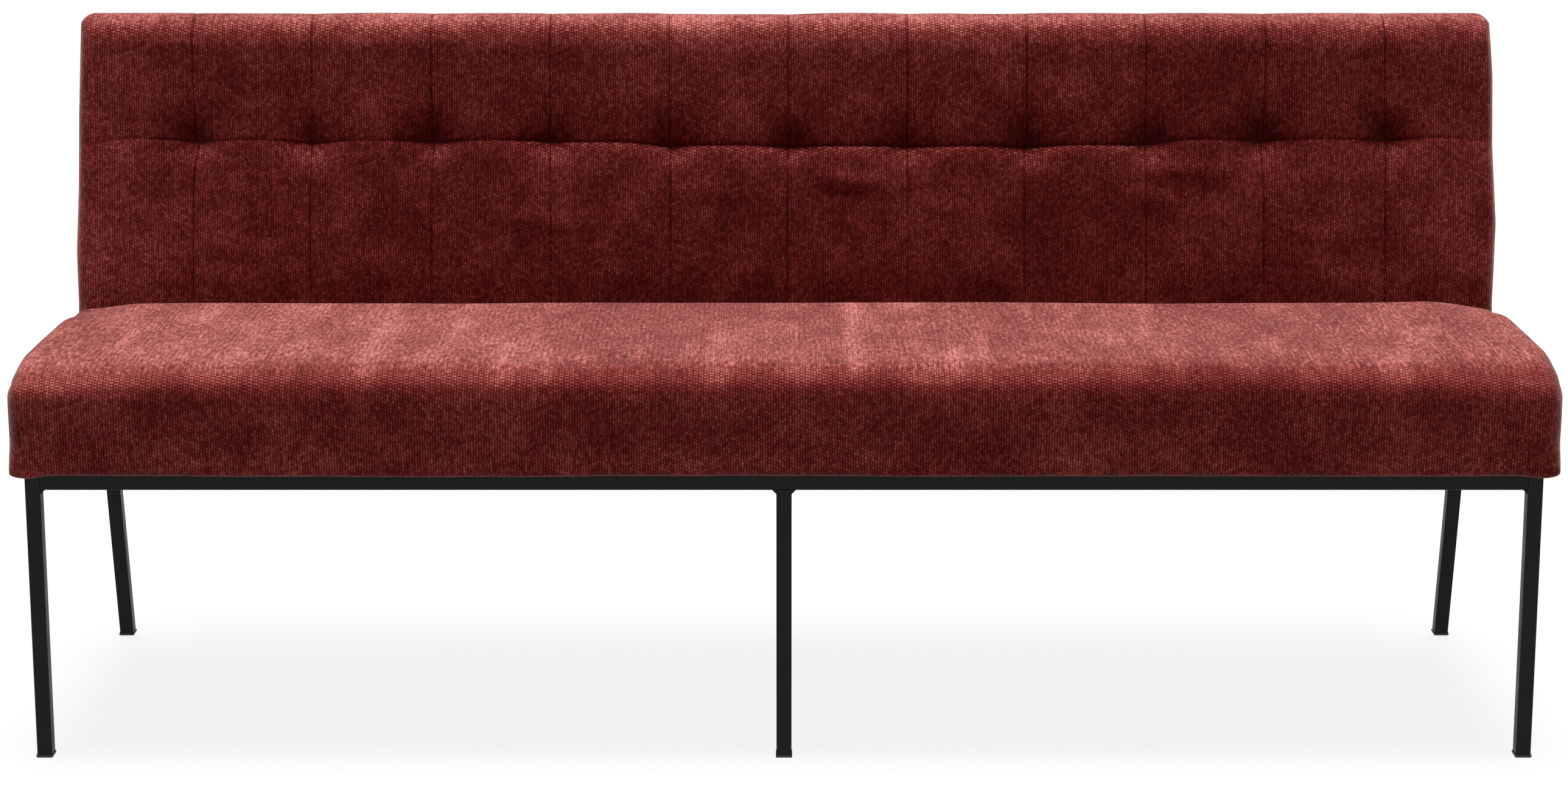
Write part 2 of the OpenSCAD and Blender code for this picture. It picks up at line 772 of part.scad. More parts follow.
module back_foam() {
    color(foam_cream)
        difference() {
            slab_bar([[slab_v(frame_z + soft_gap, quilt_t + soft_gap), quilt_t + soft_gap],
                [frame_v_top - back_foam_chamfer, quilt_t + soft_gap],
                [frame_v_top, quilt_t + soft_gap + back_foam_chamfer],
                [frame_v_top, foam_back_t], [slab_v(frame_z + soft_gap, foam_back_t), foam_back_t]], frame_x);
            for (x = seam_xs) tie_room(x);
        }
}

// Backrest cover. Distances from the seams set how far each point lies below the crown.
crown_power = 2.6;
press_below = 12;
press_reach = 57;
rise_steps = [0.16, 0.42, 1];
function nearest_seam(x) = min([for (s = seam_xs) abs(x - s)]);
function crown_rise(d, reach) = 1 - pow(1 - min(d / reach, 1), crown_power);
function tuft_fall(x, v) = tuft_d * exp(-(pow(nearest_seam(x), 2) + pow(v - seam_v, 2)) / pow(tuft_reach, 2));
function press_free(v) = let (f = max(0, min((v - seat_v + press_below) / press_reach, 1)))
    f * f * (3 - 2 * f);
function panel_fall(x, v) = let (
    crown = crown_rise(nearest_seam(x), seam_pitch / 2) * crown_rise(abs(v - seam_v), panel_rise),
    full = channel_d * (1 - crown) + tuft_fall(x, v))
    press_d + press_free(v) * (full - press_d);
function crest_fall(x, depth) = depth * (1 - crown_rise(nearest_seam(x), seam_pitch / 2));

// Columns of the form: the seams, points beside them and the middle of each panel
beside_seam = 0.13;
side_x = half_w - back_end_r;
seam_edges = concat([-side_x], seam_xs, [side_x]);
panel_columns = concat(
    [for (k = [0:panels - 1], f = [0, beside_seam, 0.5, 1 - beside_seam])
        [seam_edges[k] + f * (seam_edges[k + 1] - seam_edges[k]), 0]],
    [[side_x, 0]]);
function end_columns(side) = [for (a = side < 0 ? [90, 45] : [45, 90])
    [side * (side_x + back_end_r * sin(a)), back_end_r * (1 - cos(a))]];
back_columns = concat(end_columns(-1), panel_columns, end_columns(1));

// Rows of the form: [v, t, inward v, inward t, depth of the seams there, 1 on the panels or 0 on the crest]
press_v = seat_v - press_below;
panel_vs = concat([press_v, press_v + press_reach / 2, press_v + press_reach, (seat_v + seam_v) / 2],
    [for (i = [len(rise_steps) - 1:-1:0]) seam_v - panel_rise * rise_steps[i]], [seam_v],
    [for (f = rise_steps) seam_v + panel_rise * f]);
crest_steps = 4;
back_rows = concat(
    [for (v = panel_vs) [v, 0, 0, 1, channel_d, 1]],
    [for (i = [0:crest_steps]) let (a = 90 * i / crest_steps)
        [back_v_top - back_top_r * (1 - sin(a)), back_top_r * (1 - cos(a)), -sin(a), cos(a),
            channel_d + (crest_d - channel_d) * i / crest_steps, 0]],
    [[back_v_top, cover_rear_t - back_rear_r, -1, 0, crest_d, 0],
        [back_v_top - back_rear_r, cover_rear_t, -1, 0, 0, 0]]);

function back_row_point(column, row) = let (
    fall = (row[5] > 0 ? panel_fall(column[0], row[0]) : crest_fall(column[0], row[4])) + column[1],
    p = slab_point(row[0] + row[2] * fall, row[1] + row[3] * fall))
    [column[0], p.x, p.y];
function back_foot_point(column, t) = let (p = slab_point(slab_v(base_h, t), t)) [column[0], p.x, p.y];
function back_loop(column) = concat(
    [back_foot_point(column, press_d + column[1])],
    [for (row = back_rows) back_row_point(column, row)],
    [back_foot_point(column, cover_rear_t)]);

module back_form() {
    loops = [for (column = back_columns) back_loop(column)];
    polyhedron(points = stack_points(loops),
        faces = [for (f = stack_faces(len(loops), len(loops[0]))) [f[2], f[1], f[0]]], convexity = 6);
}

// The room inside the backrest's cover, open at the foot and behind
module back_core() {
    slab_bar([[slab_v(frame_z, quilt_t), quilt_t], [frame_v_top - back_foam_chamfer + soft_gap, quilt_t],
        [frame_v_top + soft_gap, quilt_t + back_foam_chamfer], [frame_v_top + soft_gap, frame_rear_t],
        [slab_v(frame_z, frame_rear_t), frame_rear_t]], frame_x + soft_gap);
    slab_block(-frame_x + wrap_w, frame_x - wrap_w, base_h - hem_t, frame_v_top - wrap_w,
        upright_t - tube / 2 - upright_clear, cover_rear_t + overshoot);
}

module back_cover() {
    color(chenille_red)
        difference() {
            back_form();
            back_core();
        }
}

module outside_back() {
    color(chenille_red)
        slab_block(-half_w + outside_inset, half_w - outside_inset, frame_z + hem_t, outside_v_top,
            cover_rear_t, back_t);
}

module tuft_ties() {
    color(thread_red)
        for (x = seam_xs)
            slab_pin(x, seam_v, quilt_t + soft_gap, frame_t + tuft_rail_t + toggle_t / 2, tie_d);
}

module tuft_toggles() {
    color(plastic_black)
        for (x = seam_xs)
            difference() {
                slab_pin(x, seam_v, frame_t + tuft_rail_t, frame_t + tuft_rail_t + toggle_t, toggle_d);
                slab_pin(x, seam_v, frame_t, frame_t + tuft_rail_t + toggle_t + overshoot, tie_d + joint_gap);
            }
}

module upright_screws() {
    color(zinc)
        for (x = upright_xs, v = [low_screw_v, seam_v]) {
            slab_pin(x, v, frame_rear_t, frame_rear_t + screw_head_h, screw_head_d);
            slab_pin(x, v, foam_back_t + 2 * overshoot, frame_rear_t, screw_d);
        }
}

front_rail();
rear_rail();
side_rail(-1);  // left_side_rail
side_rail(1);  // right_side_rail
centre_cross_rail();
front_corner_leg(-1);  // front_left_leg
front_corner_leg(1);  // front_right_leg
front_centre_leg();
rear_leg(-leg_x);  // rear_left_leg
rear_leg(leg_x);  // rear_right_leg
rear_leg(0);  // rear_centre_leg
upright(upright_xs[0]);  // left_outer_upright
upright(upright_xs[1]);  // left_inner_upright
upright(upright_xs[2]);  // right_inner_upright
upright(upright_xs[3]);  // right_outer_upright
weld_fillets();
mounting_tabs();
leg_top_plugs();
rear_rail_plugs();
front_glide(-leg_x);  // front_left_glide
front_glide(leg_x);  // front_right_glide
front_glide(0);  // front_centre_glide
rear_glide(-leg_x);  // rear_left_glide
rear_glide(leg_x);  // rear_right_glide
rear_glide(0);  // rear_centre_glide
seat_front_board();
seat_rear_board();
seat_end_board(-1);  // seat_left_board
seat_end_board(1);  // seat_right_board
seat_cross_bars();
bolt_cleats();
seat_bolts();
tee_nuts();
seat_webbing();
seat_foam();
seat_cover();
dust_cover();
back_top_rail();
back_tuft_rail();
back_bottom_rail();
back_left_post();
back_right_post();
back_inner_posts();
back_board();
back_foam();
back_cover();
outside_back();
tuft_ties();
tuft_toggles();
upright_screws();
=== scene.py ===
import math

import bmesh
import bpy
import numpy as np
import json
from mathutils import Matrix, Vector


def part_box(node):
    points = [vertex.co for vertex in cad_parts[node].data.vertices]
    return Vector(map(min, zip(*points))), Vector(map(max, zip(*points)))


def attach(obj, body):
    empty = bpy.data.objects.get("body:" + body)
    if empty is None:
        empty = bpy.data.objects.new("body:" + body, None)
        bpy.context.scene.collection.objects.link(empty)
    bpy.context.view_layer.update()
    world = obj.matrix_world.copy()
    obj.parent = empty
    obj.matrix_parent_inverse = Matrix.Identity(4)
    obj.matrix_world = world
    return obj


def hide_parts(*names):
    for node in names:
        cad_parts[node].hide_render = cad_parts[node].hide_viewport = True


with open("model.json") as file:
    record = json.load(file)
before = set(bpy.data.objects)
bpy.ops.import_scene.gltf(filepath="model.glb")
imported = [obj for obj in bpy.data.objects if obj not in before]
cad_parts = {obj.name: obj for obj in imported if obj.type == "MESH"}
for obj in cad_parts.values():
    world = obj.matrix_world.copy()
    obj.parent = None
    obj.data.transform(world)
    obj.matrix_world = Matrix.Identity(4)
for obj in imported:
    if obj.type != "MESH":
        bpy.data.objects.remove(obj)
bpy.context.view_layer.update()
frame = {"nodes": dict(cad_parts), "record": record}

# Lengths are in metres, but the shapes are worked out in millimetres and scaled once, in add_object. Points
# nearer to each other than JOIN_WITHIN are one point.
MM = 0.001
JOIN_WITHIN = 0.01


def cad(node):
    """Lowest and highest corner of a CAD node, in millimetres."""
    low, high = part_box(node)
    return np.array(low) / MM, np.array(high) / MM


# Camera: the photograph's lens, height and tilt
LENS = 75.466
SENSOR = 36
SHIFT_Y = -0.04503
TILT_DOWN = 11.505
CAMERA_AT = (0, -4.4235, 1.4259)

# Sizes shared with the frame. BENCH_H is the overall height, which the CAD's facets stay just under.
BACK_FRONT = cad("back_cover")[0][1]
SEAT_LOW, SEAT_HIGH = cad("seat_cover")
PANEL_LOW, PANEL_HIGH = cad("outside_back")
DUST_LOW, DUST_HIGH = cad("dust_cover")
HALF_W = SEAT_HIGH[0]
BASE_H = DUST_LOW[2]
SEAT_H = SEAT_HIGH[2]
BENCH_H = 926
RECLINE = math.radians(11)
LEAN_SIN, LEAN_COS, LEAN_TAN = math.sin(RECLINE), math.cos(RECLINE), math.tan(RECLINE)

# Backrest, in the coordinates of its leaning slab: v runs up it, and t from its crown plane to its rear.
# PRESS_D is how far the seat presses its front in.
PRESS_D = 8
SLAB_Y = BACK_FRONT - PRESS_D / LEAN_COS
BACK_T = 96.5
BACK_TOP_R = 48
BACK_REAR_R = 10
BACK_END_R = 17
BACK_V_TOP = (BENCH_H - BASE_H - BACK_TOP_R * (1 - LEAN_SIN)) / LEAN_COS + BACK_TOP_R

# Seams: twelve panels side by side, and a cross seam at this height where the cover lies SEAM_T deep
SEAM_PITCH = 168.5
SEAM_SHIFT = 6
PANELS = 12
SEAM_XS = np.array([SEAM_SHIFT + (k - PANELS / 2) * SEAM_PITCH for k in range(1, PANELS)])
PANEL_MIDDLES = SEAM_SHIFT + (np.arange(PANELS) - (PANELS - 1) / 2) * SEAM_PITCH
SEAM_Z = 755.7
SEAM_T = 12


def slab_v(z, t):
    """How far up the slab a height z lies, at depth t."""
    return (z - BASE_H + t * LEAN_SIN) / LEAN_COS


def slab_yz(v, t):
    """The y and z of a point of the slab."""
    return SLAB_Y + v * LEAN_SIN + t * LEAN_COS, BASE_H + v * LEAN_COS - t * LEAN_SIN


SEAM_V = slab_v(SEAM_Z, SEAM_T)
SEAT_V = slab_v(SEAT_H, 0)


def smooth(f):
    """A soft step from 0 to 1."""
    f = np.clip(f, 0, 1)
    return f * f * (3 - 2 * f)


def bell(distance, reach, power=2):
    """1 at no distance, 0.37 at the reach, and fading further out."""
    return np.exp(-((distance / reach) ** power))


def soft_noise(x, y, scale, seed):
    """Smooth noise from -1 to 1 with lumps about one scale wide."""
    size = 64
    table = np.random.RandomState(seed).uniform(-1, 1, (size, size))
    gx, gy = np.asarray(x, float) / scale + 1000, np.asarray(y, float) / scale + 1000
    ix, iy = np.floor(gx).astype(int), np.floor(gy).astype(int)
    fx, fy = smooth(gx - ix), smooth(gy - iy)

    def row(iy):
        return table[ix % size, iy % size] * (1 - fx) + table[(ix + 1) % size, iy % size] * fx

    return row(iy) * (1 - fy) + row(iy + 1) * fy


def lumps(x, y, layers):
    """Layers of soft noise added up. Each layer is the height and width of its lumps, and a seed."""
    return sum(height * soft_noise(x, y, width, seed) for height, width, seed in layers)


def spread(start, end, step):
    """Evenly spaced values from start to end, end left out."""
    count = max(1, int(round(abs(end - start) / step)))
    return [start + (end - start) * i / count for i in range(count)]


# Meshes


class Section:
    """A closed loop of points round a cushion, seen from its end, with outward normals and arc lengths."""

    def __init__(self):
        self.points, self.normals = [], []

    def line(self, a, b, steps):
        """Points from a towards b, b left out."""
        a, b = np.array(a, float), np.array(b, float)
        d = (b - a) / np.linalg.norm(b - a)
        for i in range(steps):
            self.points.append(a + (b - a) * (i / steps))
            self.normals.append([d[1], -d[0]])

    def arc(self, centre, r, start, end, steps):
        """Points of an arc, its end left out. Angles in degrees, from +first towards +second axis."""
        for i in range(steps):
            a = math.radians(start + (end - start) * i / steps)
            n = [math.cos(a), math.sin(a)]
            self.points.append([centre[0] + r * n[0], centre[1] + r * n[1]])
            self.normals.append(n)

    def done(self):
        """Turns the lists into arrays and adds s, how far along the loop each point lies."""
        self.points, self.normals = np.array(self.points), np.array(self.normals)
        steps = np.linalg.norm(np.roll(self.points, -1, 0) - self.points, axis=1)
        self.s = np.concatenate([[0], np.cumsum(steps)])
        return self


def place_object(name, data):
    piece = bpy.data.objects.new(name, data)
    bpy.context.scene.collection.objects.link(piece)
    return piece


def add_object(name, verts, faces, uvs, tone_and_painted_light=None):
    """A mesh object from points and weave coordinates in millimetres. The last argument is how much paler a
    point is, from the cloth's tone and from painted light and shade.
    """
    mesh = bpy.data.meshes.new(name)
    mesh.from_pydata([tuple(v) for v in verts * MM], [], faces)
    layer = mesh.uv_layers.new(name="cloth")
    corners = np.array([corner for face_uv in uvs for corner in face_uv]) * MM
    layer.data.foreach_set("uv", corners.astype(np.float32).ravel())
    mesh.polygons.foreach_set("use_smooth", [True] * len(mesh.polygons))
    if tone_and_painted_light is not None:
        tone = mesh.attributes.new("tone_and_painted_light", "FLOAT", "POINT")
        tone.data.foreach_set("value", np.array(tone_and_painted_light, np.float32).ravel())
    # Points that fall together where a corner closes are joined, so that every point keeps a true normal
    joined = bmesh.new()
    joined.from_mesh(mesh)
    bmesh.ops.remove_doubles(joined, verts=joined.verts, dist=JOIN_WITHIN * MM)
    joined.to_mesh(mesh)
    joined.free()
    return place_object(name, mesh)


# Ends of a cushion: steps of the rounding, rings of the end panel as shares of the way to its middle, how
# far in from its edges it rises, the painted shade in its seam, and where its own weave starts
END_STEPS = 7
PANEL_RINGS = (0.03, 0.07, 0.13, 0.22, 0.34, 0.48, 0.64, 0.8, 0.92, 0.985)
PANEL_PILLOW_W = 70
PANEL_SEAM_SHADE = -0.4
PANEL_UV = 3000


def add_form(name, xs, loops, inner, middle, arc_s, tone_and_painted_light, end_r, bulge, seam_sink, to_yz):
    """A cushion from one loop per column, where xs, loops, inner, middle and nap have a row per column. At
    the rounded ends the loop shrinks to inner, and the end panel closes towards middle. bulge is how far the
    panel stands out, and seam_sink how deep the seam round it lies."""
    rows = len(arc_s) - 1

    def end(side):
        """The columns past one end, from left to right: the rounding, and the panel's rings without a u."""
        i = 0 if side < 0 else -1
        x0, loop, core, mid, tone = xs[i], loops[i], inner[i], middle[i], tone_and_painted_light[i]
        built = []
        for k in range(1, END_STEPS + 1):
            a = math.radians(90 * k / END_STEPS)
            # The last step of the rounding is the end panel's seam, with painted shade of its groove
            sink, sewn = (seam_sink, PANEL_SEAM_SHADE) if k == END_STEPS else (0, 0)
            points = loop + (core - loop) * (1 - math.cos(a))
            x = x0 + side * (end_r * math.sin(a) - sink)
            built.append((x, points, x0 + side * end_r * a, tone + sewn))
        low, high = core.min(0), core.max(0)
        width = np.minimum(PANEL_PILLOW_W, (high - low) / 2)
        for share in PANEL_RINGS:
            points = core + (mid - core) * share
            pillow = (smooth((points - low) / width) * smooth((high - points) / width)).prod(1)
            built.append((x0 + side * (end_r + bulge * pillow), points, None, tone))
        return built if side > 0 else built[::-1]

    columns = end(-1) + list(zip(xs, loops, xs, tone_and_painted_light)) + end(1)
    column_x, column_points, us, tones = zip(*columns)
    grid = np.array([np.column_stack([x, points]) for x, points in zip(column_x, column_points)])
    y, z = to_yz(grid[:, :, 1], grid[:, :, 2])
    verts = np.stack([grid[:, :, 0], y, z], axis=2).reshape(-1, 3)
    panel_uv = grid[:, :, 1:] + (PANEL_UV, 0)
    faces, uvs = [], []
    for i in range(len(columns) - 1):
        on_panel = us[i] is None or us[i + 1] is None
        for j in range(rows):
            k = (j + 1) % rows
            corners = ((i, j, j), (i + 1, j, j), (i + 1, k, j + 1), (i, k, j + 1))
            faces.append([c * rows + r for c, r, _ in corners])
            uvs.append([panel_uv[c, r] if on_panel else (us[c][r], arc_s[s]) for c, r, s in corners])
    for c, order in ((0, range(rows)), (len(columns) - 1, range(rows - 1, -1, -1))):
        faces.append([c * rows + r for r in order])
        uvs.append([panel_uv[c, r] for r in order])
    return add_object(name, verts, faces, uvs, tones)


def add_layers(name, gx, gy, first, second):
    """A thin sheet: two layers of points over one grid, which places the weave, joined round the rim."""
    columns, rows = gx.shape
    offset = gx.size
    index = np.arange(offset).reshape(gx.shape)
    verts = np.concatenate([first.reshape(-1, 3), second.reshape(-1, 3)])
    uv = np.stack([gx, gy], 2).reshape(-1, 2)
    faces = []
    for i in range(columns - 1):
        for j in range(rows - 1):
            a, b = i * rows + j, (i + 1) * rows + j
            faces.append((a, a + 1, b + 1, b))
            faces.append((a + offset, b + offset, b + 1 + offset, a + 1 + offset))
    rim = np.concatenate([index[:, 0], index[-1, 1:], index[-2::-1, -1], index[0, -2:0:-1]]).tolist()
    faces += [(a, b, b + offset, a + offset) for a, b in zip(rim, rim[1:] + rim[:1])]
    return add_object(name, verts, faces, [[uv[k % offset] for k in face] for face in faces])


# Backrest

# The cross seam's drop below SEAM_Z at the middle of each panel and beyond the outer two, and its dip at
# each tuft, with its reach to both sides. The cover moves with it as far as WAVE_H above and below.
PANEL_DROP = [0, 2.6, 3.4, 2.6, 5, 9.4, 10.6, 11, 9.4, 1.7, 1.3, -0.5]
END_DROP = (10, 6)
TUFT_DIP = [4.2, 4.2, 2.4, 1.6, 5, 3, 1.6, 3.4, 3.6, 3.6, 3]
TUFT_DIP_W = 26
WAVE_H = 60
# Vertical seams: the depth and reach of their soft channel and of the thread in it
CHANNEL_D, CHANNEL_W = 3.4, 24
THREAD_D, THREAD_W = 0.4, 2.8
# Cross seam: its depth at the middle of each panel, its reach above and below, and the thread in it: a fixed
# depth, a share of the seam's, and its reach
CROSS_DEPTH = [1.5, 2, 2, 3.8, 6.5, 6.5, 6.5, 6.5, 6, 3.2, 2, 1.5]
CROSS_ABOVE, CROSS_BELOW = 34, 11
CROSS_THREAD_D, CROSS_THREAD_SHARE, CROSS_THREAD_W = 0.4, 0.1, 3.2
# Tufts: their depth, how strongly each pulls in, and their reach sideways and along, above and below
TUFT_D = 12.5
TUFT_PULL = [1, 0.8, 1, 0.8, 0.86, 0.95, 0.88, 0.93, 1, 1.05, 0.9]
TUFT_ABOVE = (30, 34)
TUFT_BELOW = (34, 36)
# Drag lines round the tufts: their height, the radius where they are strongest, and their reach from it
DRAG_H, DRAG_R, DRAG_W = 0.9, 26, 20
# Lumps of the padding, as lumps() takes them, and how far the whole lies behind the crown plane
BACK_LUMPS = [(1.3, 95, 11), (0.6, 38, 12)]
BACK_REST_D = 1.2
# The front face is pressed in up to just below the seat's top, and free this far above that
PRESS_BELOW, PRESS_FADE = 12, 57
# Sideways bend of the seams near the tufts, with its reach sideways and along, how far the lower seams stand
# beside the upper ones, with its reach and the length of the change, and how far all of them wander
TUFT_BEND, BEND_W, BEND_H = [5, 2, 3, -1, 0, 1, -1, 0, -1, -3, 2], 45, 46
LOWER_SHIFT, SHIFT_W, SHIFT_H = [2, -1.5, 1, 1.5, 2, -1, 1.5, -2, 1, -1.5, 2], 60, 5
SEAM_WANDER = [(0.72, 70, 5)]
# How far each end panel stands out past the half width at heights above the floor, and over what length
LEFT_OUTLINE = [(530, 1), (600, 3.5), (690, 0.5), (790, 0), (900, -2.5)]
RIGHT_OUTLINE = [(530, 5), (640, 10), (744, 5), (845, 5), (925, 0)]
OUTLINE_W = 70
# Crest: the depth and reach of its channels and their thread, its lumps, how far it lies back, where it dips
# (x, half width, depth), and how far behind the front face all of that fades
CREST_CHANNEL_D, CREST_CHANNEL_W = 2.2, 26
CREST_THREAD_D, CREST_THREAD_W = 1.4, 2.6
CREST_LUMPS = [(0.9, 95, 11)]
CREST_REST_D = -0.7
CREST_DIPS = [(-60, 110, 2.2), (290, 45, 1.8)]
CREST_FADE = 130
# Soft creases across single panels: x, v above the seam, half width, height. Their lines wave a little.
CREASES = [(92, -60, 46, 2.6), (575, -47, 62, 2), (520, -88, 40, 1.2), (-330, -120, 70, 0.9),
           (-760, -160, 60, 0.8), (760, -140, 60, 0.9), (250, -105, 50, 1), (-90, -80, 60, 0.8)]
CREASE_W = 9
CREASE_WAVE, CREASE_WAVE_W = 3, 31
# End panels: how far they stand out, how deep their seam lies, and how near the slab's ends they close
BACK_PANEL_BULGE, BACK_PANEL_SINK, BACK_PANEL_CORE = 1.5, 1.6, 46
# Lines of the mesh: their distances from a seam, the steps elsewhere, and how many each stretch has
SEAM_LINES = [0, 0.8, 1.8, 3.2, 5, 7.5, 10.5, 14, 18, 23, 29, 36, 44, 53, 63, 73.5]
BACK_ROW_STEP, BACK_COLUMN_STEP = 8, 9
CREST_ROWS, TOP_ROWS, REAR_ARC_ROWS, REAR_ROWS, FOOT_ROWS = 14, 5, 5, 24, 8


def nearest_seam(x):
    """The number of the vertical seam nearest to each x, and how far to the right of it x lies."""
    gaps = x[..., None] - SEAM_XS
    k = np.abs(gaps).argmin(-1)
    return k, np.take_along_axis(gaps, k[..., None], -1)[..., 0]


def near_seams(x, reach, amounts, power=2):
    """The amounts, one for each vertical seam, each faded out by its distance from x."""
    gaps = np.abs(x[..., None] - SEAM_XS)
    return (bell(gaps, reach, power) * np.array(amounts)).sum(-1)


def creases(x, rise):
    """For each crease: how far above its line a point lies, its height, and how it fades at its ends."""
    for at, above_seam, half_width, height in CREASES:
        line = rise - above_seam + CREASE_WAVE * np.sin((x - at) / CREASE_WAVE_W)
        yield line, height, bell(x - at, half_width, 4)


def seam_wave(x):
    """Height of the cross seam above SEAM_Z: it hangs more in the middle, and dips at the tufts and ends."""
    middles = np.concatenate([[-HALF_W], PANEL_MIDDLES, [HALF_W]])
    drops = np.array([PANEL_DROP[0] + END_DROP[0]] + PANEL_DROP + [PANEL_DROP[-1] + END_DROP[1]])
    k = np.clip(np.searchsorted(middles, x) - 1, 0, len(middles) - 2)
    f = np.clip((x - middles[k]) / (middles[k + 1] - middles[k]), 0, 1)
    base = drops[k] + (drops[k + 1] - drops[k]) * smooth(f)
    return -base - near_seams(x, TUFT_DIP_W, TUFT_DIP, 1.3)


def back_fall(x, v):
    """How far the cover lies behind its crown plane, at unbent x and v."""
    k, dx = nearest_seam(x)
    gap = np.abs(dx)
    rise = v - SEAM_V
    upper = rise > 0
    side = CHANNEL_D * bell(gap, CHANNEL_W, 1.25) + THREAD_D * bell(gap, THREAD_W)
    cross_d = np.interp(x, PANEL_MIDDLES, CROSS_DEPTH)
    thread_d = CROSS_THREAD_D + CROSS_THREAD_SHARE * cross_d
    cross = cross_d * bell(np.abs(rise), np.where(upper, CROSS_ABOVE, CROSS_BELOW), 1.3)
    cross = cross + thread_d * bell(rise, CROSS_THREAD_W)
    reach_x, reach_v = (np.where(upper, above, below) for above, below in zip(TUFT_ABOVE, TUFT_BELOW))
    tuft_distance = (gap / reach_x) ** 2 + (rise / reach_v) ** 2
    tuft = TUFT_D * np.array(TUFT_PULL)[k] * bell(tuft_distance, 1, 0.72)
    # Where two seams cross, the deeper one shows, with a soft change between them
    sewn = (side ** 2.2 + cross ** 2.2) ** (1 / 2.2) + tuft
    angle = np.arctan2(rise, dx)
    fan = np.sin(angle * 9 + k * 2.1) * 0.5 + np.sin(angle * 14 + k * 4.7) * 0.3
    sewn = sewn + fan * DRAG_H * bell(np.hypot(dx, rise) - DRAG_R, DRAG_W)
    padding = lumps(x, v, BACK_LUMPS)
    for line, height, fade in creases(x, rise):
        padding = padding - height * bell(line, CREASE_W) * fade
    pressed = smooth((v - SEAT_V + PRESS_BELOW) / PRESS_FADE)
    return PRESS_D + pressed * (sewn + padding + BACK_REST_D - PRESS_D)


def crest_fall(x, s):
    """The same over the crest and behind it, where s runs on from the front face."""
    gap = np.abs(nearest_seam(x)[1])
    fade = np.clip(1 - s / CREST_FADE, 0, 1)
    seam = CREST_CHANNEL_D * bell(gap, CREST_CHANNEL_W, 1.25) + CREST_THREAD_D * bell(gap, CREST_THREAD_W)
    padding = CREST_REST_D + lumps(x, s + BACK_V_TOP, CREST_LUMPS)
    for at, half_width, depth in CREST_DIPS:
        padding = padding + depth * bell(x - at, half_width, 4)
    return seam * (0.1 + 0.9 * fade ** 2) + padding * (0.3 + 0.7 * fade)


# Painted shade in the backrest's seams and hollows, and painted highlights where the cover is lifted, on the
# scale of CLOTH_TONES, each with its reach. The vertical seams' painted shade is fainter here and there.
SEAM_SHADE, SEAM_SHADE_W = 0.38, 1.3
FAINT_LUMPS = [(0.35, 50, 15)]
# Painted shade along the cross seam's line: everywhere, more where the seam is deep, and more near a tuft
CROSS_SHADE, CROSS_SHADE_DEEP, CROSS_SHADE_W = 0.06, 0.12, 1.8
CROSS_SHADE_TUFT, CROSS_SHADE_TUFT_W = 0.27, 30
# Painted shade in a soft fold along the cross seam, painted shadow in the hollows over the tufts, full up to
# one height and fading above and below, and painted highlights on the lips under the tufts, a little to the
# right
FOLD_SHADE, FOLD_SHADE_W = 0.13, 9
HOLLOW_SHADOW, HOLLOW_SHADOW_W = 0.3, 35
HOLLOW_FULL, HOLLOW_ABOVE, HOLLOW_BELOW = 6, 32, 5
LIP_HIGHLIGHT, LIP_RIGHT, LIP_W, LIP_BELOW, LIP_H = 0.16, 8, 28, 22, 15
# Painted highlight along the crest: how far below its rounding it starts, its front edge, all of it, and its
# middle
CREST_START, CREST_HIGHLIGHT, CREST_BASE_LIGHT = 22, 0.11, -0.03
CREST_MIDDLE_HIGHLIGHT, CREST_MIDDLE_W = 0.09, 400
# Amount, where it starts, and over what width it grows: darker to the right and paler at both ends
UPPER_RIGHT_TONE, LOWER_RIGHT_TONE, ENDS_TONE = (0.06, 300, 300), (0.045, -420, 200), (0.08, 840, 110)
# Painted highlight above each crease's line and painted shade below it: amount, how far above the line, and
# reach
CREASE_HIGHLIGHT, CREASE_SHADE = (0.06, 15, 8), (0.07, -10, 11)


def grown(x, amount, start, width):
    """The amount, once x is a width past the start, and none before the start."""
    return amount * smooth((x - start) / width)


def band(distance, amount, at, reach):
    """The amount, faded out on both sides of a place."""
    return amount * bell(distance - at, reach)


